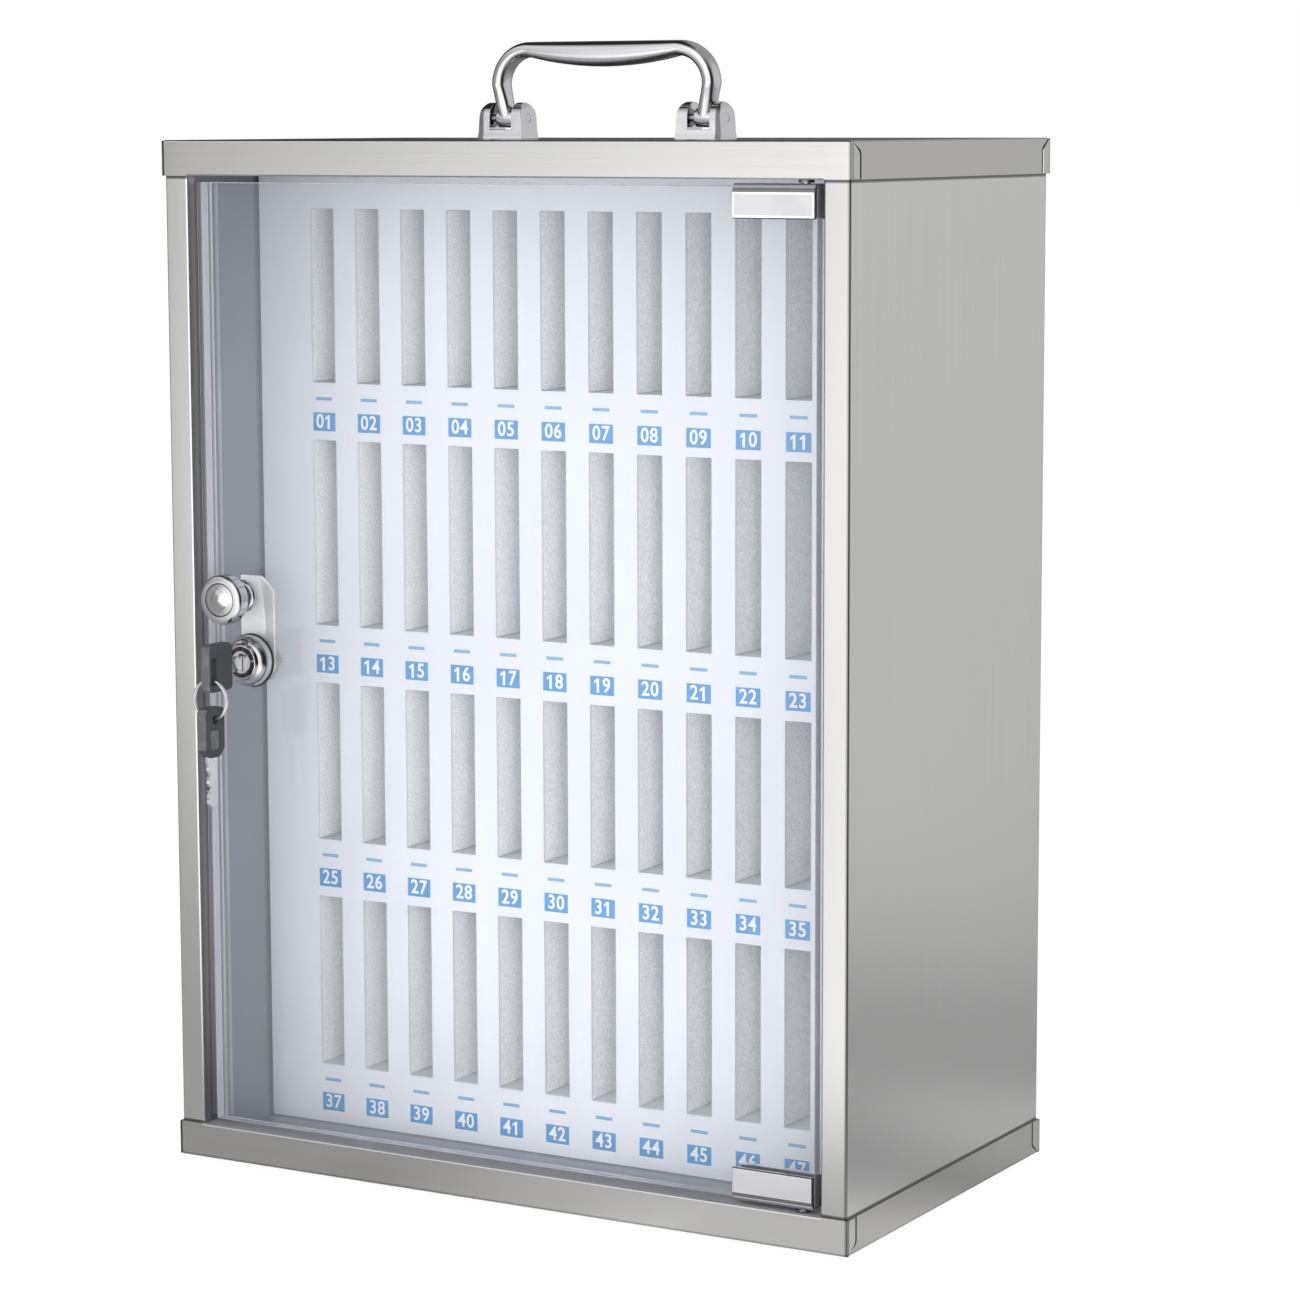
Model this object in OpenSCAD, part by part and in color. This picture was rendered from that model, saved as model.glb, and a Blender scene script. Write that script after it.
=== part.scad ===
// Cell phone locker box: a folded stainless cabinet with a rack of narrow
// pockets, a frameless clear door on pivot clamps, a cam lock and a carry handle.
// Origin: centre of the underside. X runs right, Y runs back, Z runs up.
// A depth (d) is counted from the front face of the caps.

/* [Cabinet] */
// Overall width, across the corner tabs of the caps
cabinet_w = 372; // [360:1:400]
// Overall depth, front flange to back flange
cabinet_d = 210; // [200:1:240]
// Overall height, underside to top sheet
cabinet_h = 500; // [500:1:540]
// Thickness of the stainless sheet
sheet = 0.8; // [0.6:0.1:1]
// Height of the flanges on both caps
cap_h = 17; // [15:1:20]
// Depth of the lip that turns in behind the front flange
lip_d = 14; // [13:0.5:16]
// Width of the corner tabs folded round onto the side flanges
tab_w = 7.5; // [5:0.5:10]
// Face width of the two front stiles, from the side wall
stile_w = 13.1; // [11:0.1:14]

/* [Rack] */
// Depth of the printed front panel behind the front face
panel_d = 77; // [70:1:80]
// Thickness of the printed panel
panel_t = 1.5; // [1:0.1:2]
// Distance between two columns
pitch = 26.6; // [26:0.1:27]
// Number of columns
columns = 12; // [8:1:12]
// Clear width of a pocket
slot_w = 13.9; // [12:0.1:15]
// Floor heights of the four rows, bottom row first
row_floor = [33.5, 149.5, 258.5, 380]; // [20:0.5:400]
// Clear heights of the four rows, bottom row first
row_height = [87, 80, 93, 86]; // [60:1:94]
// Thickness of the rack boards
board = 3; // [2:0.5:3]

/* [Door] */
// Thickness of the clear pane
pane_t = 5; // [4:0.5:5]
// Depth of the front of the pane
pane_d = 3; // [2.6:0.1:3.2]
// Gap between the left stile and the edge of the pane
pane_gap_left = 6.3; // [5:0.1:7]
// Gap between the right stile and the edge of the pane
pane_gap_right = 4; // [3.5:0.1:5]
// Gap between the caps and the pane, top and bottom
pane_gap_z = 3; // [2.6:0.1:4]
// Length and height of a pivot clamp
clamp_size = [41, 15.6]; // [14:0.1:45]
// Distance from the right end of a clamp to the pivot
pivot_inset = 6.4; // [6:0.1:8]
// Diameter of the pivot pins
pivot_dia = 4; // [3:0.1:4]

/* [Lock and knob] */
// Place of the knob: x and z
knob_at = [-144, 281.5]; // [-150:0.5:300]
// Place of the lock: x and z
lock_at = [-139.5, 250.5]; // [-145:0.5:300]
// Diameter of the head of the knob
knob_dia = 24.3; // [20:0.1:28]
// Diameter of the lock's bezel
bezel_dia = 25; // [23:0.5:28]
// Diameter of the threaded barrel
barrel_dia = 16; // [15:0.5:17]
// Length of the lock cam from the axis to its tip
cam_reach = 30; // [26:0.5:31]

/* [Handle] */
// Distance between the two brackets
bracket_pitch = 110; // [90:1:130]
// Size of a bracket: x, y and the height of its pivot
bracket_size = [25, 15, 10]; // [8:1:30]
// Height of the grip's top above the cabinet
handle_h = 46.5; // [44:0.5:55]
// Overall width of the handle
handle_w = 124; // [118:1:140]
// Diameter of the handle bar
bar_dia = 8; // [7:0.5:9]
// How far the belly of the grip hangs below the bar
belly = 4.8; // [3:0.1:8]

/* [Hidden] */
$fn = 48;
round_fn = 64;
// How far the corner tabs stand proud of the side flanges
tab_t = 0.6;
// Outer radius of the long folds
fold_r = 1.1;
// Clearance of the turning fits, on the radius
fit = 0.05;
// Small gap between pieces that don't touch
gap = 0.3;

front = -cabinet_d / 2;
cap_half = cabinet_w / 2 - tab_t;
wall_out = cap_half - sheet;
wall_in = wall_out - sheet;
opening = wall_out - stile_w;

// Left stop behind the pane
stop_d = pane_d + pane_t + gap;
stop_w = 9;
stop_hem_d = 12.8;
rear_flange = 14;
back_d = cabinet_d - 3 * sheet;
fold_low = cap_h + gap;
fold_high = cabinet_h - cap_h - gap;

// False floor
floor_top = 3.4;
floor_drop = floor_top - sheet;

// Rack
frame_d = panel_d + panel_t;
rack_back = back_d - board;
foam = (pitch - slot_w - board) / 2;
rack_half = (columns * pitch + board) / 2;
ceiling = cabinet_h - 2 * sheet - 0.4;
rows = len(row_floor) - 1;

// Door
pane_l = -opening + pane_gap_left;
pane_r = opening - pane_gap_right;
pane_low = cap_h + pane_gap_z;
pane_high = cabinet_h - cap_h - pane_gap_z;
liner = 0.5;
clamp_front = 2;
clamp_back = 3.2;
clamp_web = 1.2;
clamp_t = pane_t + 2 * liner + clamp_front + clamp_back;
clamp_d = pane_d - liner - clamp_front;
clamp_r = pane_r - 0.4;
clamp_bevel = [2, 2.8];
pivot_x = clamp_r - pivot_inset;
pivot_d = pane_d + pane_t / 2;
pin_len = 6.4;
bush_r = 3.6;
bush_body_r = 2.9;
bush_flange = 1.4;

// Lock and knob
plate_t = 1.2;
plate_d = pane_d + pane_t;
barrel_end_d = 13.2;
plug_r = 5.5;
bezel_d = -6.5;
keyway = [2.4, 8];
cam_t = 2;
cam_d = barrel_end_d + 0.4;
square = 5.6;
bow_t = 5;
bow_w = 23;
bow_near_d = -16.5;
bow_far_d = -35.5;
slot_len = 13;
slot_gap = 4;
slot_margin = 1.9;
blade_t = 2;
blade_w = 7.6;
blade_len = 25;
ring_r = 9.4;
wire = [1.1, 1.8];
bow_bar = 3.6;
ring_lift = 4;

// Places of the ring and of the spare key that hangs on it
ring_d = bow_far_d + slot_margin + slot_gap / 2;
hang_z = lock_at[1] - bow_w / 2 + bow_bar / 2;
ring_z = hang_z + ring_lift - ring_r;
ring_low = ring_z - ring_r;
spare_bow = [15, 24];
spare_hole_r = 2;
spare_drop = 0.3;
spare_top = ring_low - spare_drop + 6.2;

// Handle
bracket_x = bracket_pitch / 2;
notch_w = 12;
notch_floor = 4.4;
handle_pin_r = 2;
eye_w = 9;
eye_r = 4.6;
screw_r = 1.9;

steel = [0.78, 0.77, 0.76];
chrome = [0.85, 0.85, 0.88];
white = [0.9, 0.91, 0.94];
foam_grey = [0.7, 0.7, 0.74];
clear = [0.85, 0.93, 0.95, 0.35];
black = [0.12, 0.12, 0.13];

// Helpers

// Moves to x, depth behind the front face, and z
module at(x, d, z) translate([x, front + d, z]) children();

// A block from x0 to x1, depth d0 to d1 and z0 to z1
module block(x0, x1, d0, d1, z0, z1)
  at(x0, d0, z0) cube([x1 - x0, d1 - d0, z1 - z0]);

// A round bar along Y from depth d0 to d1
module rod_y(x, z, r, d0, d1, fn = round_fn)
  at(x, d0, z) rotate([-90, 0, 0]) cylinder(r = r, h = d1 - d0, $fn = fn);

// A round bar along X from x0 to x1
module rod_x(x0, x1, y, z, r, fn = round_fn)
  translate([x0, y, z]) rotate([0, 90, 0]) cylinder(r = r, h = x1 - x0, $fn = fn);

// Turns a profile of [radius, depth] points about an axis along Y
module turned_y(x, z, points)
  at(x, 0, z) rotate([-90, 0, 0]) rotate_extrude($fn = round_fn) polygon(points);

function arc(cx, cy, r, a0, a1, n) =
  [for (i = [0 : n]) [cx + r * cos(a0 + (a1 - a0) * i / n), cy + r * sin(a0 + (a1 - a0) * i / n)]];

module rounded_rect(w, h, r) {
  square([w - 2 * r, h], center = true);
  square([w, h - 2 * r], center = true);
  for (x = [-1, 1], y = [-1, 1])
    translate([x * (w / 2 - r), y * (h / 2 - r)]) circle(r = r, $fn = 24);
}

// Takes the sharp corner off an upright fold; the sheet lies towards +x and +y of its corner
module fold_corner(low, high)
  translate([0, 0, low]) linear_extrude(high - low)
    difference() {
      translate([-1, -1]) square(fold_r + 1);
      translate([fold_r, fold_r]) circle(r = fold_r, $fn = 24);
    }

// Caps: one folded pan, used upright below and turned over on top

module corner_tab() {
  chamfer = tab_w * 0.6;
  rotate([90, 0, 90])
    linear_extrude(tab_t)
      polygon([[0, 0], [sheet, 0], [tab_w - 1, chamfer], [tab_w, chamfer + 1.5], [tab_w, cap_h], [0, cap_h]]);
}

module cap_pan() {
  difference() {
    union() {
      block(-cap_half, cap_half, 0, cabinet_d, 0, sheet);
      for (s = [-1, 1])
        block(s * cap_half - (s + 1) / 2 * sheet, s * cap_half - (s - 1) / 2 * sheet, 0, cabinet_d, 0, cap_h);
      block(-cap_half, cap_half, 0, sheet, 0, cap_h);
      block(-cap_half, cap_half, cabinet_d - sheet, cabinet_d, 0, cap_h);
      block(-opening, opening, 0, lip_d, cap_h - sheet, cap_h);
      block(-wall_in, wall_in, 2 * sheet, lip_d, cap_h - sheet, cap_h);
      block(-wall_in, wall_in, lip_d - sheet, lip_d, cap_h - 5, cap_h);
    }
    at(pivot_x, pivot_d, cap_h - sheet - 1) cylinder(r = bush_body_r, h = sheet + 2, $fn = round_fn);
  }
  for (s = [0, 1], b = [0, 1])
    mirror([s, 0, 0]) mirror([0, b, 0]) translate([cap_half, front, 0]) corner_tab();
}

module bottom_cap() color(steel) cap_pan();

module top_cap()
  color(steel)
    difference() {
      translate([0, 0, cabinet_h]) mirror([0, 0, 1]) cap_pan();
      handle_screw_holes();
    }

// Side panels: wall, front stile with its returns, and rear flange

module side_panel(with_stop) {
  low = sheet;
  high = cabinet_h - sheet;
  difference() {
    union() {
      block(-wall_out, -wall_in, sheet, cabinet_d - sheet, low, high);
      block(-wall_out, -opening, sheet, 2 * sheet, low, high);
      block(-wall_out, -wall_out + rear_flange, cabinet_d - 2 * sheet, cabinet_d - sheet, low, high);
      block(-opening - sheet, -opening, sheet, stop_d + sheet, fold_low, fold_high);
    }
    at(-wall_out, sheet, 0) fold_corner(0, cabinet_h);
    at(-wall_out, cabinet_d - sheet, 0) mirror([0, 1, 0]) fold_corner(0, cabinet_h);
    at(-opening, sheet, 0) mirror([1, 0, 0]) fold_corner(fold_low, fold_high);
  }
  if (with_stop) {
    block(-opening - sheet, -opening + stop_w, stop_d, stop_d + sheet, fold_low + 3, fold_high - 3);
    block(-opening + stop_w - sheet, -opening + stop_w, stop_d, stop_hem_d, fold_low + 3, fold_high - 3);
  }
}

module left_side_panel() color(steel) side_panel(true);

module right_side_panel() color(steel) mirror([1, 0, 0]) side_panel(false);

module back_panel()
  color(steel)
    block(-wall_in, wall_in, back_d, back_d + sheet, sheet, cabinet_h - sheet);

// False floor: a shallow pan turned down at all four edges
module floor_panel() {
  d0 = 2 * sheet + 0.2;
  d1 = back_d;
  color(steel)
    difference() {
      block(-wall_in, wall_in, d0, d1, sheet, floor_top);
      block(-wall_in + sheet, wall_in - sheet, d0 + sheet, d1 - sheet, 0, floor_drop);
    }
}

// Rack of pockets

function column_x(i) = (i - (columns - 1) / 2) * pitch;

module slot_panel()
  color(white)
    difference() {
      block(-wall_in, wall_in, panel_d, frame_d, floor_top, ceiling);
      for (r = [0 : rows], i = [0 : columns - 1])
        block(column_x(i) - slot_w / 2, column_x(i) + slot_w / 2,
              panel_d - 1, frame_d + 1, row_floor[r], row_floor[r] + row_height[r]);
    }

// Heights of the solid bands between the rows, from the floor to the top
band_low = [floor_top, for (r = [0 : rows]) row_floor[r] + row_height[r] + board];
band_high = [for (r = [0 : rows]) row_floor[r] - board, ceiling];

module rail_boards()
  color(white)
    for (b = [0 : rows + 1])
      block(-rack_half, rack_half, frame_d, frame_d + board, band_low[b], band_high[b]);

module end_boards()
  color(white)
    for (s = [0, 1])
      mirror([s, 0, 0]) block(rack_half, wall_in, frame_d, frame_d + board, floor_top, ceiling);

module shelf_boards()
  color(white)
    for (r = [0 : rows], z = [row_floor[r] - board, row_floor[r] + row_height[r]])
      block(-rack_half, rack_half, frame_d, rack_back, z, z + board);

module divider_boards()
  color(white)
    for (r = [0 : rows], i = [0 : columns]) {
      x = (i - columns / 2) * pitch;
      block(x - board / 2, x + board / 2, frame_d, rack_back, row_floor[r], row_floor[r] + row_height[r]);
    }

// Foam on both walls of every pocket
module foam_pads()
  color(foam_grey)
    for (r = [0 : rows], i = [0 : columns - 1], s = [-1, 1]) {
      x = column_x(i) + s * (slot_w + foam) / 2;
      block(x - foam / 2, x + foam / 2, frame_d, rack_back, row_floor[r], row_floor[r] + row_height[r]);
    }

module rack_back_board()
  color(white) block(-wall_in, wall_in, rack_back, back_d, floor_top, ceiling);

// Pivot bushes in the lips

module pivot_bush()
  translate([pivot_x, front + pivot_d, cap_h])
    difference() {
      union() {
        cylinder(r = bush_r, h = bush_flange, $fn = round_fn);
        translate([0, 0, -5]) cylinder(r = bush_body_r, h = 5 + bush_flange, $fn = round_fn);
      }
      translate([0, 0, -6]) cylinder(r = pivot_dia / 2 + fit, h = 12, $fn = round_fn);
    }

module lower_pivot_bush() color(chrome) pivot_bush();

module upper_pivot_bush()
  color(chrome) translate([0, 0, cabinet_h]) mirror([0, 0, 1]) pivot_bush();

// Carry handle: two forked brackets, their pins and the bail

module bracket_profile() {
  w = bracket_size[1];
  h = bracket_size[2];
  polygon(concat([[-w / 2 - 0.8, 0], [w / 2 + 0.8, 0], [w / 2, 3]],
                 arc(0, h, w / 2, 0, 180, 20), [[-w / 2, 3]]));
}

module bracket(side) {
  w = bracket_size[0];
  pivot_z = bracket_size[2];
  color(chrome)
    translate([side * bracket_x, 0, cabinet_h])
      difference() {
        intersection() {
          rotate([90, 0, 90]) translate([0, 0, -w / 2]) linear_extrude(w) bracket_profile();
          rotate([90, 0, 0]) translate([0, 0, -20]) linear_extrude(40)
            polygon([[-w / 2, 0], [w / 2, 0], [w / 2 - 1, pivot_z + 4], [w / 2 - 4, 20],
                     [-w / 2 + 4, 20], [-w / 2 + 1, pivot_z + 4]]);
        }
        translate([-notch_w / 2, -20, notch_floor]) cube([notch_w, 40, 30]);
        rod_x(-w, w, 0, pivot_z, handle_pin_r);
        for (s = [-1, 1])
          translate([s * (notch_w / 2 + 3), 0, -1]) cylinder(r = screw_r, h = 5, $fn = 24);
      }
}

module handle_bracket_left() bracket(-1);

module handle_bracket_right() bracket(1);

module handle_pins()
  color(chrome)
    for (s = [-1, 1])
      rod_x(s * bracket_x - bracket_size[0] / 2 + 1.2, s * bracket_x + bracket_size[0] / 2 - 1.2,
            0, cabinet_h + bracket_size[2], handle_pin_r);

module screw_places()
  for (b = [-1, 1], s = [-1, 1])
    translate([b * bracket_x + s * (notch_w / 2 + 3), 0, cabinet_h - sheet]) children();

module handle_screw_holes()
  screw_places() translate([0, 0, -1]) cylinder(r = screw_r, h = 3, $fn = 24);

// Pan-head screws that come up through the top sheet into the brackets
module handle_screws()
  color(chrome)
    screw_places() {
      cylinder(r = screw_r, h = sheet + 3.6, $fn = 24);
      translate([0, 0, -2]) cylinder(r1 = 2.6, r2 = 3.6, h = 2, $fn = 24);
    }

// The bail lies in the XZ plane: an eye on each pin, a leg that leans outward,
// a wide bend, and a flat-topped grip whose underside swells into a belly.
// Each station is [x, z, angle of the outer normal, half thickness, half width].
bend_r = 17;
bar_r = bar_dia / 2;
thin_r = bar_r * 0.92;
leg_x = handle_w / 2 - thin_r;
leg_rise = handle_h - thin_r - bend_r - bracket_size[2];
leg_lean = atan((leg_x - bracket_x) / leg_rise);
grip_half = leg_x - bend_r;
foot_half = 4.6;
bar_half = 5.8;
squareness = 0.75;
leg_steps = 5;
bend_steps = 9;
grip_steps = 9;
bail_sides = 20;

function leg_station(t) =
  [bracket_x + (leg_x - bracket_x) * t, bracket_size[2] + leg_rise * t, -leg_lean * (1 - t),
   bar_r + (thin_r - bar_r) * t, foot_half + (bar_half - foot_half) * t * t];

function bend_station(t) =
  [grip_half + bend_r * cos(90 * t), bracket_size[2] + leg_rise + bend_r * sin(90 * t), 90 * t,
   thin_r, bar_half + 0.2 * t];

function grip_station(t) =
  let (swell = belly / 2 * (1 - t * t), half = thin_r + swell)
  [grip_half * t, handle_h - half, 90, half, bar_half + 0.2 + 0.5 * (1 - t * t)];

right_stations = [
  for (i = [0 : leg_steps - 1]) leg_station(i / leg_steps),
  for (i = [0 : bend_steps - 1]) bend_station(i / bend_steps),
  for (i = [grip_steps : -1 : 0]) grip_station(i / grip_steps)
];
left_stations = [
  for (i = [len(right_stations) - 2 : -1 : 0])
    let (s = right_stations[i]) [-s[0], s[1], 180 - s[2], s[3], s[4]]
];

// The section is an ellipse drawn a little towards a rectangle
function squared(v) = sign(v) * pow(abs(v), squareness);

function station_ring(s) =
  [for (k = [0 : bail_sides - 1])
    let (a = 360 * k / bail_sides, out = s[3] * squared(cos(a)))
      [s[0] + out * cos(s[2]), s[4] * squared(sin(a)), s[1] + out * sin(s[2])]];

// Skins rings of points, all with the same count, into one closed tube
module skin(rings) {
  n = len(rings[0]);
  m = len(rings);
  polyhedron(
    points = [for (r = rings) each r],
    faces = concat(
      [[for (k = [0 : n - 1]) k]],
      [[for (k = [n - 1 : -1 : 0]) (m - 1) * n + k]],
      [for (i = [0 : m - 2], k = [0 : n - 1]) [i * n + k, (i + 1) * n + k, (i + 1) * n + (k + 1) % n]],
      [for (i = [0 : m - 2], k = [0 : n - 1]) [i * n + k, (i + 1) * n + (k + 1) % n, i * n + (k + 1) % n]]));
}

module handle_bail()
  color(chrome)
    translate([0, 0, cabinet_h])
      difference() {
        union() {
          skin([for (s = concat(right_stations, left_stations)) station_ring(s)]);
          for (s = [-1, 1])
            rod_x(s * bracket_x - eye_w / 2, s * bracket_x + eye_w / 2, 0, bracket_size[2], eye_r);
        }
        rod_x(-handle_w, handle_w, 0, bracket_size[2], handle_pin_r + fit);
      }

// Door: pane, pivot clamps, liners and grub screws

module door_pane()
  color(clear)
    difference() {
      block(pane_l, pane_r, pane_d, pane_d + pane_t, pane_low, pane_high);
      rod_y(lock_at[0], lock_at[1], barrel_dia / 2 + 0.2, 0, 20);
      rod_y(knob_at[0], knob_at[1], 2.2, 0, 20);
    }

// The lower clamp: a channel over the edge of the pane, its closed edge
// bevelled, with the pivot pin cast on below
module clamp_body() {
  low = pane_low - clamp_web;
  high = low + clamp_size[1];
  left = clamp_r - clamp_size[0];
  length = clamp_size[0];
  b = clamp_bevel;
  t = clamp_t;
  h = clamp_size[1];
  difference() {
    at(left, clamp_d, low) rotate([90, 0, 90]) linear_extrude(length)
      polygon([[b[0], 0], [t - b[0], 0], [t, b[1]], [t, h - 0.5], [t - 0.5, h], [0.5, h], [0, h - 0.5], [0, b[1]]]);
    block(left - 1, clamp_r + 1, pane_d - liner, pane_d + pane_t + liner, pane_low, high + 1);
    for (x = clamp_screw_x) rod_y(x, low + h * 0.58, 2, pane_d + pane_t, 30);
  }
  at(pivot_x, pivot_d, low - pin_len) cylinder(r = pivot_dia / 2, h = pin_len + 0.4, $fn = round_fn);
}

clamp_screw_x = [clamp_r - clamp_size[0] + 9, clamp_r - 11];

module lower_clamp() color(chrome) clamp_body();

module upper_clamp()
  color(chrome) translate([0, 0, cabinet_h]) mirror([0, 0, 1]) clamp_body();

module clamp_liners()
  color(black)
    for (m = [0, 1], d = [pane_d - liner, pane_d + pane_t])
      translate([0, 0, m * cabinet_h]) mirror([0, 0, m])
        block(clamp_r - clamp_size[0] + 0.6, clamp_r - 0.2, d, d + liner,
              pane_low, pane_low - clamp_web + clamp_size[1] - 0.6);

// Grub screws with a hexagon socket, flush with the back of the clamps
module clamp_screws()
  color(steel)
    for (m = [0, 1], x = clamp_screw_x)
      translate([0, 0, m * cabinet_h]) mirror([0, 0, m])
        difference() {
          rod_y(x, pane_low - clamp_web + clamp_size[1] * 0.58, 2, pane_d + pane_t + liner, clamp_d + clamp_t - 0.2);
          rod_y(x, pane_low - clamp_web + clamp_size[1] * 0.58, 1.1, clamp_d + clamp_t - 1.4, clamp_d + clamp_t + 1, 6);
        }

// Knob

module knob() {
  r = knob_dia / 2;
  color(chrome)
    difference() {
      turned_y(knob_at[0], knob_at[1], concat(
        [[0, 0.6], [4.4, 0.6], [4.2, -3], [5, -6.5], [8.5, -8.6]],
        arc(r - 1.8, -11, 1.8, 50, 0, 4), arc(r - 2.6, -14.6, 2.6, 0, -70, 6),
        [[8.2, -17.1], [7.8, -16.4], [7.2, -16.4]],
        arc(0, -9.6, 8.8, -55, -90, 6)));
      rod_y(knob_at[0], knob_at[1], 1.6, -6, 3);
    }
}

module knob_rosette()
  color(chrome)
    difference() {
      turned_y(knob_at[0], knob_at[1], concat(
        [[0, pane_d], [8, pane_d], [8, pane_d - 1]], arc(5.8, pane_d - 1, 2.2, 0, -90, 5), [[0, pane_d - 3.2]]));
      turned_y(knob_at[0], knob_at[1], [[0, pane_d - 2.4], [4.6, pane_d - 2.4], [4.6, -1], [0, -1]]);
      rod_y(knob_at[0], knob_at[1], 2.2, -1, 5);
    }

module knob_washer()
  color(steel)
    difference() {
      rod_y(knob_at[0], knob_at[1], 4.5, plate_d + plate_t, plate_d + plate_t + 0.8);
      rod_y(knob_at[0], knob_at[1], 2.1, plate_d, plate_d + 4);
    }

module knob_screw() {
  head_d = plate_d + plate_t + 0.8;
  color(steel)
    difference() {
      union() {
        rod_y(knob_at[0], knob_at[1], 1.6, -5, head_d);
        turned_y(knob_at[0], knob_at[1], [[0, head_d], [3.4, head_d], [3.4, head_d + 0.8], [2.2, head_d + 2.2], [0, head_d + 2.2]]);
      }
      for (a = [0, 90])
        at(knob_at[0], head_d + 1.2, knob_at[1]) rotate([0, a, 0]) cube([3.4, 4, 0.8], center = true);
    }
}

// Lock

module lock_housing() {
  r = bezel_dia / 2;
  color(chrome)
    difference() {
      union() {
        turned_y(lock_at[0], lock_at[1], concat(
          [[0, pane_d - 0.8], [r, pane_d - 0.8], [r, pane_d - 2.4]],
          arc(r - 6.4, pane_d - 2.4, 6.4, -10, -62, 8), [[8.2, bezel_d], [0, bezel_d]]));
        rod_y(lock_at[0], lock_at[1], barrel_dia / 2, pane_d - 1, barrel_end_d);
      }
      rod_y(lock_at[0], lock_at[1], 7.5, bezel_d - 1, bezel_d + 2.2);
      rod_y(lock_at[0], lock_at[1], plug_r + fit, bezel_d - 1, 20);
    }
}

// Dark ring that fills the face of the bezel round the plug
module lock_face_ring()
  color(black)
    difference() {
      rod_y(lock_at[0], lock_at[1], 7.5, bezel_d + 0.5, bezel_d + 2.2);
      rod_y(lock_at[0], lock_at[1], plug_r + 0.2, bezel_d, bezel_d + 3);
    }

module lock_gasket()
  color(black)
    difference() {
      rod_y(lock_at[0], lock_at[1], bezel_dia / 2 + 0.6, pane_d - 0.8, pane_d);
      rod_y(lock_at[0], lock_at[1], barrel_dia / 2, pane_d - 2, pane_d + 1);
    }

// Plate behind the pane that ties the knob to the lock
plate_x = [-156, -130];
plate_z = [235, 291];
module lock_plate() {
  c = 7;
  color(steel)
    difference() {
      at(0, plate_d + plate_t, 0) rotate([90, 0, 0]) linear_extrude(plate_t)
        polygon([[plate_x[0], plate_z[0]], [plate_x[1], plate_z[0]], [plate_x[1], plate_z[1] - c],
                 [plate_x[1] - c, plate_z[1]], [plate_x[0] + c, plate_z[1]], [plate_x[0], plate_z[1] - c]]);
      rod_y(lock_at[0], lock_at[1], barrel_dia / 2 + 0.1, 0, 20);
      rod_y(knob_at[0], knob_at[1], 2.1, 0, 20);
    }
}

module lock_nut()
  color(steel)
    difference() {
      rod_y(lock_at[0], lock_at[1], 11.5, plate_d + plate_t, plate_d + plate_t + 3, 6);
      rod_y(lock_at[0], lock_at[1], barrel_dia / 2, 0, 20);
    }

module lock_plug()
  color(chrome)
    difference() {
      union() {
        rod_y(lock_at[0], lock_at[1], plug_r, bezel_d, cam_d);
        at(lock_at[0] - square / 2, cam_d - 0.2, lock_at[1] - square / 2) cube([square, cam_t + 0.2, square]);
      }
      at(lock_at[0] - keyway[0] / 2, bezel_d - 1, lock_at[1] - keyway[1] / 2)
        cube([keyway[0], 1 + 16.4, keyway[1]]);
      rod_y(lock_at[0], lock_at[1], 1.5, cam_d - 2, cam_d + 5);
    }

// Cam, pointing up while the lock is open
module lock_cam()
  color(steel)
    at(lock_at[0], cam_d + cam_t, lock_at[1]) rotate([90, 0, 0])
      linear_extrude(cam_t)
        difference() {
          union() {
            circle(r = 7, $fn = round_fn);
            translate([-4.5, 0]) square([9, cam_reach - 4.5]);
            translate([0, cam_reach - 4.5]) circle(r = 4.5, $fn = round_fn);
          }
          square([square + 0.1, square + 0.1], center = true);
        }

module cam_washer()
  color(steel)
    difference() {
      rod_y(lock_at[0], lock_at[1], 5, cam_d + cam_t, cam_d + cam_t + 0.6);
      rod_y(lock_at[0], lock_at[1], 1.7, cam_d, cam_d + 5);
    }

module cam_screw() {
  head_d = cam_d + cam_t + 0.6;
  color(steel)
    difference() {
      union() {
        rod_y(lock_at[0], lock_at[1], 1.5, cam_d - 1.8, head_d);
        rod_y(lock_at[0], lock_at[1], 3.2, head_d, head_d + 2);
      }
      for (a = [0, 90])
        at(lock_at[0], head_d + 1.6, lock_at[1]) rotate([0, a, 0]) cube([4, 2, 0.8], center = true);
    }
}

// Keys

// A blade along +X with its bitting cut into the upper edge; the flat face is in the XZ plane
bitting = [0.8, 2, 1.2, 2.4, 1.6, 0.9];
module blade_outline(length) {
  step = (length - 6) / len(bitting);
  h = blade_w / 2;
  polygon(concat(
    [[-4, -h], [length - 3, -h], [length, 0]],
    [for (i = [len(bitting) - 1 : -1 : 0], p = [1, 0.5])
      [3 + step * (i + p), p == 1 ? h - 0.3 : h - bitting[i]]],
    [[3, h], [-4, h]]));
}

module key_blade()
  color(chrome)
    at(lock_at[0] - blade_t / 2, bow_near_d, lock_at[1]) rotate([90, 0, 90])
      linear_extrude(blade_t) blade_outline(blade_len);

module key_bow() {
  mid = (bow_near_d + bow_far_d) / 2;
  len_y = bow_near_d - bow_far_d;
  color(black)
    difference() {
      at(lock_at[0] - bow_t / 2, mid, lock_at[1]) rotate([90, 0, 90])
        linear_extrude(bow_t) rounded_rect(len_y, bow_w, 3);
      at(lock_at[0] - bow_t, ring_d - slot_gap / 2, hang_z + bow_bar / 2)
        cube([2 * bow_t, slot_gap, slot_len]);
      at(lock_at[0] - blade_t / 2, bow_near_d - 4, lock_at[1] - blade_w / 2)
        cube([blade_t, 5, blade_w]);
    }
}

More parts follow.
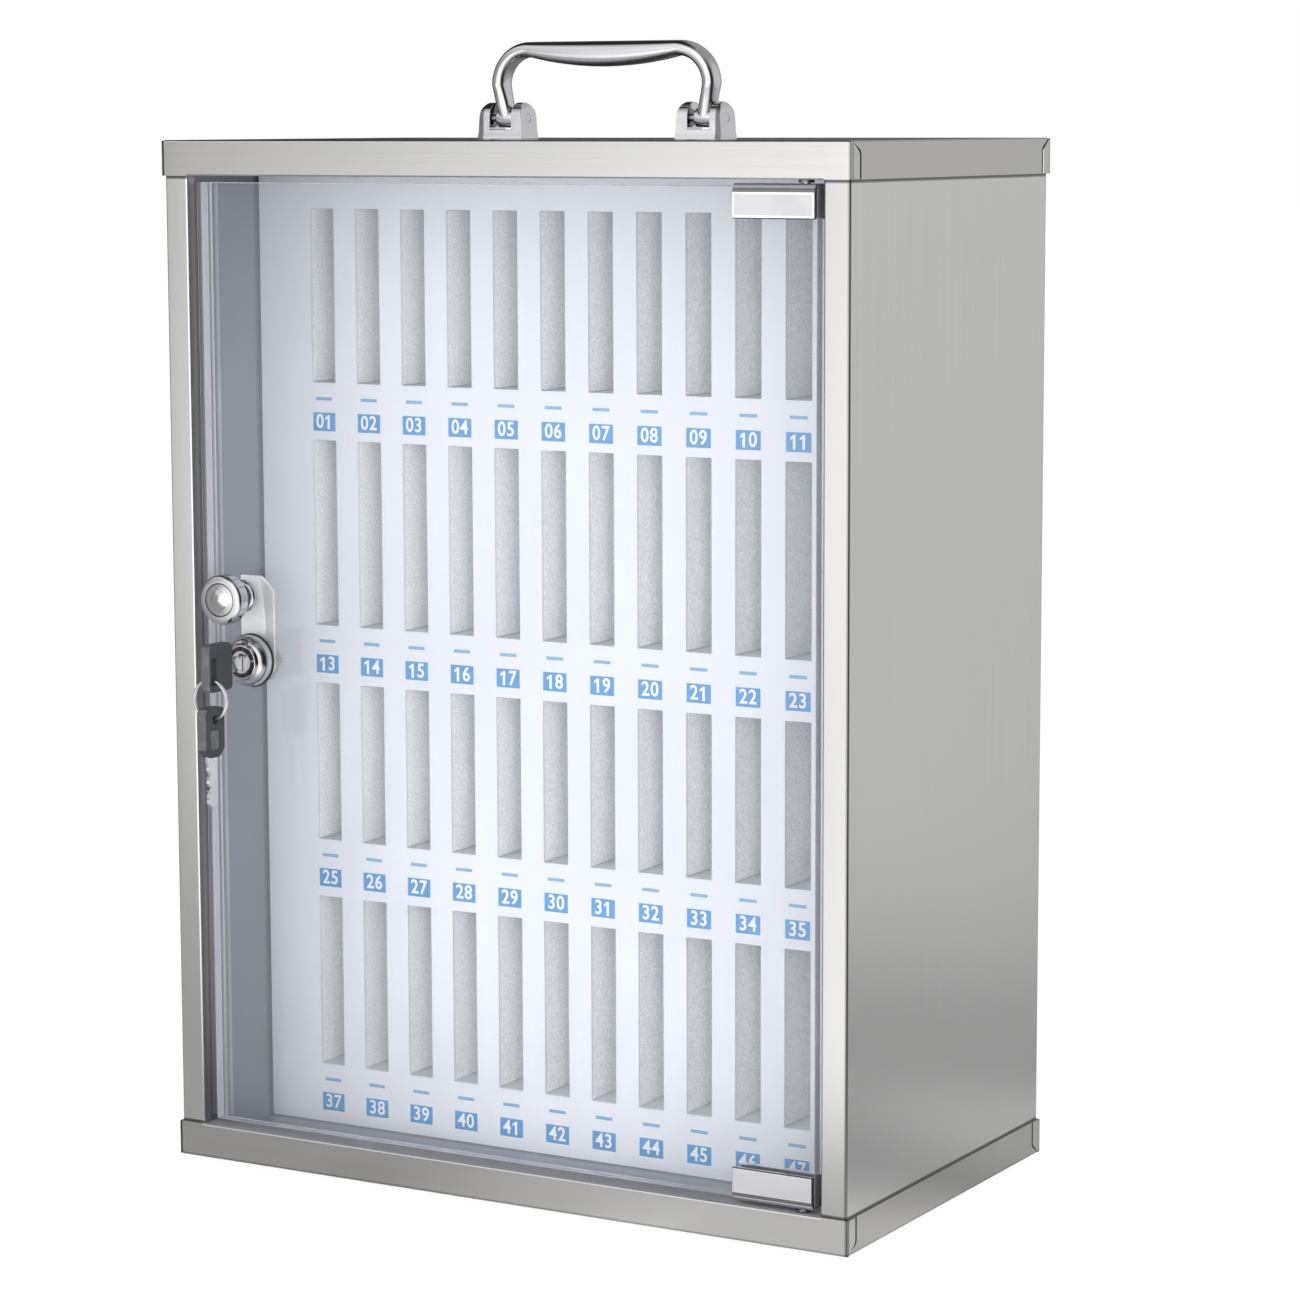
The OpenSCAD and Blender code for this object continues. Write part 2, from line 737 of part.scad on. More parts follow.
module key_ring()
  color(chrome)
    at(lock_at[0], ring_d, ring_z) rotate([90, 0, 0])
      rotate_extrude($fn = 96)
        translate([ring_r, 0]) difference() {
          square([wire[0], wire[1]], center = true);
          for (s = [-1, 1]) translate([s * wire[0] / 2, 0]) rotate(45) square(0.24, center = true);
        }

module spare_blade()
  color(chrome)
    at(lock_at[0] - blade_t / 2, ring_d, spare_top - spare_bow[1]) rotate([0, 90, 0])
      linear_extrude(blade_t) blade_outline(blade_len);

// Round at the top and cut off at the two corners beside the blade
module spare_outline() {
  w = spare_bow[0] / 2;
  h = spare_bow[1] / 2;
  r = 3;
  cut = 4;
  polygon(concat([[-w, cut - h], [cut - w, -h], [w - cut, -h], [w, cut - h]],
                 arc(w - r, h - r, r, 0, 90, 6), arc(r - w, h - r, r, 90, 180, 6)));
}

module spare_bow()
  color(black)
    difference() {
      at(lock_at[0] - bow_t / 2, ring_d, spare_top - spare_bow[1] / 2) rotate([90, 0, 90])
        linear_extrude(bow_t) spare_outline();
      rod_x(lock_at[0] - bow_t, lock_at[0] + bow_t, front + ring_d, ring_low - spare_drop, spare_hole_r);
      for (s = [0, 1])
        translate([lock_at[0], 0, 0]) mirror([s, 0, 0])
          at(bow_t / 2 - 0.5, ring_d, spare_top - 15.5) rotate([90, 0, 90])
            linear_extrude(1) rounded_rect(7, 9, 1);
      at(lock_at[0] - blade_t / 2, ring_d - blade_w / 2, spare_top - spare_bow[1] - 1)
        cube([blade_t, blade_w, 5]);
    }

top_cap();
bottom_cap();
left_side_panel();
right_side_panel();
back_panel();
floor_panel();
slot_panel();
rail_boards();
end_boards();
divider_boards();
shelf_boards();
rack_back_board();
foam_pads();
upper_pivot_bush();
lower_pivot_bush();
handle_bracket_left();
handle_bracket_right();
handle_pins();
handle_screws();
handle_bail();
door_pane();
upper_clamp();
lower_clamp();
clamp_liners();
clamp_screws();
knob();
knob_rosette();
knob_screw();
knob_washer();
lock_housing();
lock_face_ring();
lock_gasket();
lock_plate();
lock_nut();
lock_plug();
lock_cam();
cam_washer();
cam_screw();
key_blade();
key_bow();
key_ring();
spare_blade();
spare_bow();
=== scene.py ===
"""Dresses a steel phone locker: folded sheet metal, printed rack, foam, clear door, lock, keys and handle."""

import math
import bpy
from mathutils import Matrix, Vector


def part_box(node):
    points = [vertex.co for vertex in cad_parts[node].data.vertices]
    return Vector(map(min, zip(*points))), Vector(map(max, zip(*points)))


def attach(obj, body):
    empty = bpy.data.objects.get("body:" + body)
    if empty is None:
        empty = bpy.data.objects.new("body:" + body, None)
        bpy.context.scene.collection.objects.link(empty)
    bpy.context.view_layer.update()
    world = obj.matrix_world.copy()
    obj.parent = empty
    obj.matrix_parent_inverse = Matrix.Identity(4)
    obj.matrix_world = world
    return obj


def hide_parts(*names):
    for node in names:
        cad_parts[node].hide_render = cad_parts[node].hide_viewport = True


bl_info = {
    "name": "Phone Locker",
    "version": (1, 0, 0),
    "blender": (4, 5, 0),
    "location": "3D View > Sidebar > Locker",
    "description": "Models and finishes a wall of phone pockets behind a clear door, in a folded steel box",
    "category": "Object",
}

import bmesh
import bpy
from bmesh.types import BMEdge, BMVert
from bpy.props import FloatProperty, FloatVectorProperty, PointerProperty
from bpy.types import Operator, Panel, PropertyGroup
from mathutils import Matrix, Vector

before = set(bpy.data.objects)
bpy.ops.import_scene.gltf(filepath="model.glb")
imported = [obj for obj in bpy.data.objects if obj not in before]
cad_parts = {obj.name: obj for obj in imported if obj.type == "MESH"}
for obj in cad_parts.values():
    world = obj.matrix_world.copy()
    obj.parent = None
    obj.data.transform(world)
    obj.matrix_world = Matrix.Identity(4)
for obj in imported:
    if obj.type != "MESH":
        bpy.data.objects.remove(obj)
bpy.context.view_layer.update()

# Sizes below are millimetres in the part's frame, and pieces are scaled to metres when they are placed
TO_MM = 1000.0


def corners(node):
    """Lowest and highest corner of a node, in millimetres."""
    low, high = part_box(node)
    return Vector([part * TO_MM for part in low]), Vector([part * TO_MM for part in high])


cap_low, cap_high = corners("bottom_cap")
PANEL_FACE = corners("slot_panel")[0].y
HEIGHT = corners("top_cap")[1].z
FRONT = cap_low.y
BACK = cap_high.y
SHEET = 0.8
TAB_PROUD = 0.6
CAP_HALF = cap_high.x - TAB_PROUD
CAP_H = cap_high.z
WALL_OUT = CAP_HALF - SHEET
WALL_IN = WALL_OUT - SHEET
OPENING = WALL_OUT - 13.1
REAR_FLANGE = 14.0
LIP_D = 14.0
LIP_TURN = 5.0
STOP_D = 8.3
STOP_W = 9.0
STOP_HEM_D = 12.8
# Distance from the opening of the painted shade line along the door stop's flange
STOP_SHADE_LINE = 6.3
TAB_W = 7.5
TAB_CHAMFER = 4.5
TAB_START = 0.35
TAB_GAP = 0.7
TAB_GAP_FRONT = 2.2
# Where the painted shadow strip behind each tab starts, and how far it stands proud
SHADOW_STRIP_START = 0.3
SHADOW_STRIP_PROUD = 0.06

# How far a fold's painted dark reflection reaches from its corner, in metres
FOLD_FULL = 0.0006
FOLD_FADE = 0.0017

# Angle in degrees from which an edge is rounded, and stays sharp in the shading
SHARP = 32

# Cycles of brushing a metre along X, Y and Z: upright walls, level caps, and every level face
UPRIGHT = (1500.0, 1500.0, 6.0)
LEVEL = (6.0, 6.0, 1500.0)
ALONG_X = (6.0, 1500.0, 6.0)

# Heights of the light tent's middle and foot, in metres
TENT_MIDDLE = 0.25
TENT_FOOT = -0.0005

# Rack, bottom row first
ROW_FLOOR = (33.5, 149.5, 258.5, 380.0)
ROW_HEIGHT = (87.0, 80.0, 93.0, 86.0)
PITCH = 26.6
COLUMNS = 12
SLOT_W = 13.9
FOAM_T = 4.85
FOAM_FRONT = 78.5
FOAM_BACK = 204.6
LABEL_DROP = 19.4
LINE_DROP = 7.9

# Door furniture: x and z of the knob's and the lock's axes
KNOB = (-144.0, 281.5)
LOCK = (-139.5, 250.5)
PANE_FRONT = 3.0
BEZEL_R = 12.5
KNOB_R = 12.15
RING_D = -31.6
RING_Z = 235.4
RING_R = 9.4

# Handle
PIVOT_Z = HEIGHT + 10.0
BRACKET_X = 55.0
HANDLE_HALF = 62.0
HANDLE_TOP = HEIGHT + 46.5


def colour_setting(name, description, default):
    """A colour in the sidebar."""
    return FloatVectorProperty(
        name=name, description=description, subtype="COLOR", default=default, min=0, max=1)


class SteelSettings(PropertyGroup):
    """Colours and brushing of the sheet metal."""

    # The panels, inner walls and door stop are one steel: the left panel's paler colour, the right panel's
    # darker one and the much darker inner walls and door stop are painted light and shade.
    left_colour: colour_setting(
        "Left panel", "Colour of the left side panel and its stile", (0.70, 0.695, 0.685))
    right_colour: colour_setting(
        "Right panel", "Colour of the right side panel and the back", (0.63, 0.625, 0.62))
    inner_colour: colour_setting("Inner walls", "Colour of the walls inside the door", (0.262, 0.27, 0.304))
    stop_colour: colour_setting(
        "Door stop", "Colour of the return and door stop behind the stile", (0.37, 0.37, 0.385))
    cap_colour: colour_setting("Caps", "Colour of the two caps", (0.605, 0.60, 0.59))
    roughness: FloatProperty(
        name="Roughness", description="How satin the brushed sheet is", subtype="FACTOR",
        default=0.24, min=0, max=1)
    bend: FloatProperty(
        name="Bend radius", description="Outer radius of the folds, in millimetres",
        default=1.1, min=0.85, max=3)


class RackSettings(PropertyGroup):
    """Colours of the rack and its print."""

    print_colour: colour_setting("Printed panel", "Colour of the printed front", (0.765, 0.785, 0.84))
    label_colour: colour_setting("Labels", "Colour of the number labels", (0.008, 0.236, 0.57))
    foam_colour: colour_setting("Foam", "Colour of the foam in the pockets", (0.97, 0.97, 0.99))
    label_width: FloatProperty(
        name="Label width", description="Width of a number label, in millimetres",
        default=13.2, min=8, max=14)
    label_height: FloatProperty(
        name="Label height", description="Height of a number label, in millimetres",
        default=9.2, min=5, max=12)


class MetalSettings(PropertyGroup):
    """Finish of the bright metal, the pane and the keys."""

    chrome_colour: colour_setting("Chrome", "Colour of the chrome", (0.62, 0.62, 0.64))
    bow_colour: colour_setting("Key bow", "Colour of the plastic key bows", (0.030, 0.030, 0.034))
    pane_alpha: FloatProperty(
        name="Pane haze", description="How much of the clear pane shows", subtype="FACTOR",
        default=0.09, min=0, max=1)


class StudioSettings(PropertyGroup):
    """Light and camera."""

    sky: FloatProperty(name="Sky", description="Strength of the even light", default=1.02, min=0, max=3)
    key_power: FloatProperty(
        name="Key light", description="Power of the large front lamp", unit="POWER", default=10.4, min=0)
    lens: FloatProperty(
        name="Lens", description="Focal length on a 36 mm sensor", unit="CAMERA", default=108.74, min=10)


class Value:
    """A socket that carries a number; arithmetic on it adds Math nodes."""

    def __init__(self, nodes, socket):
        self.nodes = nodes
        self.socket = socket

    def __add__(self, other):
        return self.nodes.maths("ADD", self, other)

    def __sub__(self, other):
        return self.nodes.maths("SUBTRACT", self, other)

    def __rsub__(self, other):
        return self.nodes.maths("SUBTRACT", other, self)

    def __mul__(self, other):
        return self.nodes.maths("MULTIPLY", self, other)


class Nodes:
    """A node tree and the calls that fill it."""

    def __init__(self, tree):
        self.tree = tree

    def node(self, kind, settings=None, inputs=None, output=0):
        """Adds any node: its settings first, then its inputs, and gives back one output."""
        made = self.tree.nodes.new(kind)
        for key, value in (settings or {}).items():
            setattr(made, key, value)
        for key, value in (inputs or {}).items():
            if isinstance(value, Value):
                self.tree.links.new(value.socket, made.inputs[key])
            else:
                made.inputs[key].default_value = value
        return Value(self, made.outputs[output]) if made.outputs else None

    def maths(self, operation, *numbers):
        """A Math node on numbers and values."""
        return self.node("ShaderNodeMath", {"operation": operation}, dict(enumerate(numbers)))

    def vectors(self, operation, *places, output=0):
        """A Vector Math node on places and directions."""
        return self.node("ShaderNodeVectorMath", {"operation": operation}, dict(enumerate(places)), output)

    def rays(self):
        """Three values that are 1 for rays from the camera, in metal and through clear sheet."""
        return [self.node("ShaderNodeLightPath", output=name)
                for name in ("Is Camera Ray", "Is Glossy Ray", "Is Transmission Ray")]

    def show(self, shader, output):
        """Links a shader to the tree's output."""
        self.tree.links.new(shader.socket, self.tree.nodes[output].inputs["Surface"])


FINISHES = {}


class Finish(Nodes):
    """A material while it is mixed: its tree, its Principled shader and the nodes behind it."""

    def __init__(self, name, colour=(0.8, 0.8, 0.8), **numbers):
        self.material = bpy.data.materials.new(name)
        self.material.use_nodes = True
        super().__init__(self.material.node_tree)
        self.shader = self.tree.nodes["Principled BSDF"]
        self.shader.inputs["Base Color"].default_value = (*colour, 1)
        for key, value in numbers.items():
            self.shader.inputs[key.title()].default_value = value
        self.material.diffuse_color = (*colour, 1)
        FINISHES[name] = self.material

    def feed(self, **values):
        """Links values to the shader's own sockets."""
        for key, value in values.items():
            self.tree.links.new(value.socket, self.shader.inputs[key.replace("_", " ").title()])

    def place(self):
        """Object coordinates, in metres."""
        return self.node("ShaderNodeTexCoord", output="Object")

    def axis(self, name):
        """One axis of the object coordinates."""
        return self.node("ShaderNodeSeparateXYZ", inputs={0: self.place()}, output=name)

    def away(self, name, level=0.0):
        """Distance from a level along an axis."""
        along = self.axis(name)
        return self.maths("ABSOLUTE", along - level if level else along)

    def facing(self, name):
        """1 on faces square to an axis, 0 on the others."""
        normal = self.node("ShaderNodeTexCoord", output="Normal")
        part = self.node("ShaderNodeSeparateXYZ", inputs={0: normal}, output=name)
        return self.ease(self.maths("ABSOLUTE", part), 0.6, 0.8)

    def grain(self, stretch, detail=2.0, roughness=0.5):
        """Noise from 0 to 1 with this many cycles a metre, alike along each axis or not."""
        scale = stretch if isinstance(stretch, tuple) else (stretch,) * 3
        mapped = self.node("ShaderNodeMapping", inputs={"Vector": self.place(), "Scale": scale})
        return self.node("ShaderNodeTexNoise", {"noise_dimensions": "3D"},
                         {"Vector": mapped, "Scale": 1.0, "Detail": detail, "Roughness": roughness})

    def ease(self, value, low, high, start=0.0, end=1.0):
        """Maps a value smoothly from one range to another."""
        return self.node("ShaderNodeMapRange", {"interpolation_type": "SMOOTHSTEP"},
                         {"Value": value, "From Min": low, "From Max": high, "To Min": start, "To Max": end})

    def spread(self, noise, start=0.0, end=1.0):
        """Maps the middle of a noise to a range."""
        return self.ease(noise, 0.3, 0.7, start, end)

    def tint(self, factor, first, second):
        """A colour between two colours."""
        inputs = {0: factor}
        for index, colour in ((6, first), (7, second)):
            inputs[index] = colour if isinstance(colour, Value) else (*colour, 1)
        return self.node("ShaderNodeMix", {"data_type": "RGBA"}, inputs, output=2)

    def shades(self, factor, colour, low, high):
        """A colour between two shades of one colour."""
        return self.tint(factor, darker(colour, low), darker(colour, high))

    def bump(self, height, distance, strength=1.0):
        """A bump that feeds the shader's normal."""
        inputs = {"Height": height, "Distance": distance, "Strength": strength}
        self.feed(normal=self.node("ShaderNodeBump", inputs=inputs))


def darker(colour, share):
    """A colour times a share."""
    return tuple(part * share for part in colour)


def brushed_steel(name, colour, roughness, grain, seams=(), facing_light=(), fold=None):
    """Satin sheet: fine lines along the rolling direction and slow mottling, with painted shade along the
    seams, painted dark reflections on the folds and painted light by the way faces point.
    """
    finish = Finish(name, colour, metallic=1.0, roughness=roughness)
    flat = finish.facing("Z")
    fine = finish.grain(grain, 3.0, 0.6) * (1 - flat) + finish.grain(ALONG_X, 3.0, 0.6) * flat
    cloud = finish.grain((6.0, 6.0, 4.0), 3.0)
    mixed = finish.shades(finish.spread(fine), colour, 0.975, 1.02)
    mixed = finish.tint(finish.ease(cloud, 0.35, 0.65, 0.0, 0.6), mixed, darker(colour, 1.02))
    # Faces square to an axis get a lighter or darker copy of the colour: painted light and shade by the way
    # they face.
    for axis, share in facing_light:
        mixed = finish.tint(finish.facing(axis), mixed, darker(colour, share))
    # Dark lines along the seams, where the sheets meet: painted shade.
    painted_shade = darker(colour, 0.10)
    for axis, seam, full, fade, depth, side in seams:
        shade = finish.ease(finish.away(axis, seam), full, fade, depth, 0.0)
        if side:
            shade = shade * finish.facing(side)
        mixed = finish.tint(shade, mixed, painted_shade)
    # Dark lines on the upright folds, stronger towards the right, and along the bottom edge: painted dark
    # reflection and painted shade.
    if fold:
        across, along = (finish.ease(finish.away(axis), half - FOLD_FADE, half - FOLD_FULL)
                         for axis, half in zip("XY", fold))
        under = finish.ease(finish.axis("Z"), FOLD_FULL, FOLD_FADE, 0.5, 0.0) * (1 - flat)
        corner = across * along * finish.ease(finish.axis("X"), -0.1, 0.1, 0.12, 0.62)
        mixed = finish.tint(corner + under, mixed, painted_shade)
    finish.feed(base_color=mixed, roughness=fine * 0.03 + (cloud * 0.05 + (roughness - 0.04)))
    finish.bump(fine, 0.00001, 0.2)


def bright_chrome(name, colour, roughness):
    """Plated die casting, with a little waviness from the polishing."""
    finish = Finish(name, colour, metallic=1.0, roughness=roughness)
    smear = finish.grain(45.0, 3.0)
    finish.feed(roughness=finish.ease(smear, 0.35, 0.7, roughness * 0.75, roughness * 1.7))
    finish.bump(finish.grain(160.0, 1.0), 0.00006, 0.4)


def satin_metal(name, colour, roughness, metallic=1.0):
    """Zinc-plated or nickel steel of the small hardware."""
    finish = Finish(name, colour, metallic=metallic, roughness=roughness)
    speck = finish.grain(700.0)
    finish.feed(base_color=finish.shades(finish.spread(finish.grain(60.0)), colour, 0.94, 1.04),
                roughness=finish.spread(speck, roughness * 0.8, roughness * 1.25))
    finish.bump(speck, 0.00002, 0.5)


def moulded_plastic(name, colour, roughness=0.42):
    """Black moulded plastic with a fine spark texture."""
    finish = Finish(name, colour, roughness=roughness)
    worn = finish.grain(180.0, 3.0)
    finish.feed(base_color=finish.tint(finish.ease(worn, 0.45, 0.75), colour, darker(colour, 1.7)),
                roughness=finish.spread(worn, roughness * 0.85, roughness * 1.2))
    finish.bump(finish.grain(2600.0), 0.00004, 0.5)


def speckled(name, colour, roughness, cycles, detail, low, high, depth=0.0):
    """Matt rubber, foamed board or flat ink: one fine noise in its tone and, given a depth, in its relief."""
    finish = Finish(name, colour, roughness=roughness)
    speck = finish.grain(cycles, detail)
    finish.feed(base_color=finish.shades(speck, colour, low, high))
    if depth:
        finish.bump(speck, depth, 0.6)


def printed_board(name, colour):
    """White printed front: smooth film with faint unevenness of the print."""
    finish = Finish(name, colour, roughness=0.42)
    slow = finish.grain((14.0, 14.0, 10.0))
    peel = finish.grain(900.0)
    finish.feed(base_color=finish.shades(finish.spread(slow), colour, 0.975, 1.02),
                roughness=finish.spread(peel, 0.38, 0.47))
    finish.bump(peel, 0.00002, 0.3)


def grey_foam(name, colour):
    """Open-cell foam: pale grey with small dark cells and light cell walls."""
    finish = Finish(name, colour, roughness=0.95)
    cells = finish.node("ShaderNodeTexVoronoi", {"feature": "F1"},
                        {"Vector": finish.place(), "Scale": 1500.0, "Randomness": 1.0})
    mottle = finish.grain(900.0, 2.0, 0.6)
    slow = finish.grain((110.0, 110.0, 60.0))
    tone = finish.shades(finish.ease(mottle, 0.34, 0.66), colour, 0.84, 1.12)
    tone = finish.tint(finish.spread(slow, 0.0, 0.35), tone, darker(colour, 0.92))
    tone = finish.tint(finish.ease(cells, 0.02, 0.24, 0.6, 0.0), tone, darker(colour, 0.55))
    finish.feed(base_color=tone)
    finish.bump(cells, 0.0003, 0.7)


def clear_pane(name, colour, alpha, roughness, metallic, edge=False):
    """Clear sheet, thin enough to see through without bending the view."""
    finish = Finish(name, colour, roughness=roughness, alpha=alpha, metallic=metallic)
    finish.shader.inputs["IOR"].default_value = 1.49
    tone = finish.tint(finish.spread(finish.grain(9.0, 1.0)), darker(colour, 0.94), colour)
    if edge:
        streak = finish.spread(finish.grain((12.0, 60.0, 12.0)), alpha * 0.92, min(1.0, alpha * 1.08))
        # The top and bottom edge faces show less, and the edge darkens towards the hinge on the right:
        # painted shade.
        finish.feed(alpha=streak * (1 - finish.facing("Z") * 0.3))
        tone = finish.tint(finish.ease(finish.axis("X"), 0.05, 0.15), tone, (0.24, 0.24, 0.26))
    finish.feed(base_color=tone)


def arc(across, along, radius, start, end, steps):
    """Points of an arc, from one angle to another in degrees."""
    angles = [math.radians(start + (end - start) * step / steps) for step in range(steps + 1)]
    return [(across + radius * math.cos(a), along + radius * math.sin(a)) for a in angles]


def mesh_of(bm, name):
    """Ends a bmesh as a mesh."""
    mesh = bpy.data.meshes.new(name)
    bm.to_mesh(mesh)
    bm.free()
    return mesh


def add_object(name, data):
    """An object in the scene."""
    thing = bpy.data.objects.new(name, data)
    bpy.context.scene.collection.objects.link(thing)
    return thing


def place_piece(name, bm, body, finishes, stands_for=(), sharp=SHARP):
    """Turns a bmesh into a piece in metres that rides on a body and stands for CAD nodes."""
    bmesh.ops.scale(bm, vec=(1 / TO_MM,) * 3, verts=bm.verts)
    mesh = mesh_of(bm, name)
    mesh.shade_smooth()
    mesh.set_sharp_from_angle(angle=math.radians(sharp))
    for finish in finishes:
        mesh.materials.append(FINISHES[finish])
    piece = add_object(name, mesh)
    shading = piece.modifiers.new("Flat faces", "WEIGHTED_NORMAL")
    shading.keep_sharp = True
    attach(piece, body)
    if stands_for:
        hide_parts(*stands_for)
    return piece


def cad_shape(node):
    """A merged copy of a CAD node's mesh, in millimetres, with its flat faces whole."""
    bm = bmesh.new()
    bm.from_mesh(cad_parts[node].data)
    bmesh.ops.scale(bm, vec=(TO_MM,) * 3, verts=bm.verts)
    bmesh.ops.remove_doubles(bm, verts=bm.verts, dist=0.001)
    bmesh.ops.dissolve_limit(bm, angle_limit=math.radians(0.5), verts=bm.verts, edges=bm.edges)
    for face in bm.faces:
        face.material_index = 0
    return bm


def only(kind, geom):
    """The vertices or the edges of what an operator gave."""
    return [item for item in geom if isinstance(item, kind)]


def whole(bm):
    """Everything in a bmesh."""
    return bm.verts[:] + bm.edges[:] + bm.faces[:]


def edges_at(verts):
    """The edges at these vertices, each once and in a fixed order."""
    return list(dict.fromkeys(edge for vert in verts for edge in vert.link_edges))


def between(edges, verts):
    """Those of the edges that have both ends among these vertices."""
    return [edge for edge in edges if edge.verts[0] in verts and edge.verts[1] in verts]


def middle_of(edge):
    """The middle of an edge."""
    return (edge.verts[0].co + edge.verts[1].co) / 2


def run_of(edge):
    """The way from one end of an edge to the other."""
    return edge.verts[1].co - edge.verts[0].co


def bevel(bm, geom, width, segments, affect="EDGES"):
    """Rounds edges or corners."""
    bmesh.ops.bevel(bm, geom=geom, offset=width, offset_type="OFFSET", segments=segments, profile=0.5,
                    affect=affect, clamp_overlap=True, material=-1)


def soften(bm, width, segments=2, pick=None):
    """Rounds the sharp edges, or those of them that pick chooses."""
    least = math.radians(SHARP)
    bevel(bm, [edge for edge in bm.edges if edge.is_manifold and edge.calc_face_angle(0) > least
               and (pick is None or pick(edge))], width, segments)


def refined(node, body, finish, width=0.2):
    """A node's own shape with softened edges and smooth rounds."""
    bm = cad_shape(node)
    soften(bm, width)
    place_piece(node + "_fine", bm, body, [finish], [node])


def add_box(bm, low, high):
    """A block between two corners."""
    made = bmesh.ops.create_cube(bm, size=1)["verts"]
    bmesh.ops.scale(bm, vec=[b - a for a, b in zip(low, high)], verts=made)
    bmesh.ops.translate(bm, vec=[(a + b) / 2 for a, b in zip(low, high)], verts=made)
    return made


def add_turned(bm, profile, centre, steps=96, closed=False, sweep=360.0, start=0.0):
    """Spins a profile of (radius, depth) points about an axis along Y."""
    x, z = centre
    verts = [bm.verts.new((x + radius, FRONT + depth, z)) for radius, depth in profile]
    edges = [bm.edges.new(pair) for pair in zip(verts, verts[1:] + verts[:closed])]
    if start:
        bmesh.ops.rotate(bm, cent=(x, 0, z), matrix=Matrix.Rotation(math.radians(start), 3, "Y"), verts=verts)
    full = sweep == 360.0
    geom = verts + edges
    if closed and not full:
        geom.append(bm.faces.new(verts))
    bmesh.ops.spin(bm, geom=geom, cent=(x, 0, z), axis=(0, 1, 0), dvec=(0, 0, 0), angle=math.radians(sweep),
                   steps=steps, use_merge=full, use_duplicate=False)
    bmesh.ops.remove_doubles(bm, verts=bm.verts, dist=0.0005)
    bmesh.ops.recalc_face_normals(bm, faces=bm.faces)


def cut(bm, place, normal, clear=False):
    """Cuts a mesh along a plane, clears what lies beyond it if asked, and gives back the new edges."""
    made = bmesh.ops.bisect_plane(bm, geom=whole(bm), plane_co=place, plane_no=normal, clear_outer=clear)
    return only(BMEdge, made["geom_cut"])


def pull_edges(bm, edges, move):
    """Draws a strip of faces from edges, and gives back its new edges."""
    made = bmesh.ops.extrude_edge_only(bm, edges=edges)["geom"]
    bmesh.ops.translate(bm, vec=move, verts=only(BMVert, made))
    return only(BMEdge, made)


def pull_face(bm, points, move):
    """Draws a prism from an outline, and gives back its moved vertices."""
    face = bm.faces.new([bm.verts.new(point) for point in points])
    moved = only(BMVert, bmesh.ops.extrude_face_region(bm, geom=[face])["geom"])
    bmesh.ops.translate(bm, vec=move, verts=moved)
    return moved


def thicken(bm, face, axis):
    """Turns a sheet so that a face points down an axis, and gives the sheet its thickness."""
    if face.normal[axis] > 0:
        bmesh.ops.reverse_faces(bm, faces=bm.faces)
    bmesh.ops.solidify(bm, geom=bm.faces[:], thickness=SHEET)
    bmesh.ops.recalc_face_normals(bm, faces=bm.faces)


def mirrored(bm, axis, about=0.0):
    """Mirrors a finished mesh across a plane and turns its faces outward again."""
    scale = Vector((1, 1, 1))
    scale[axis] = -1
    shift = Vector((0, 0, 0))
    shift[axis] = 2 * about
    bmesh.ops.scale(bm, vec=scale, verts=bm.verts)
    bmesh.ops.translate(bm, vec=shift, verts=bm.verts)
    bmesh.ops.reverse_faces(bm, faces=bm.faces)
    return bm


def dress_node(node, finish):
    """Gives a CAD node that stays a better finish."""
    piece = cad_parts[node]
    if not piece.material_slots:
        piece.data.materials.append(FINISHES[finish])
    for slot in piece.material_slots:
        slot.material = FINISHES[finish]


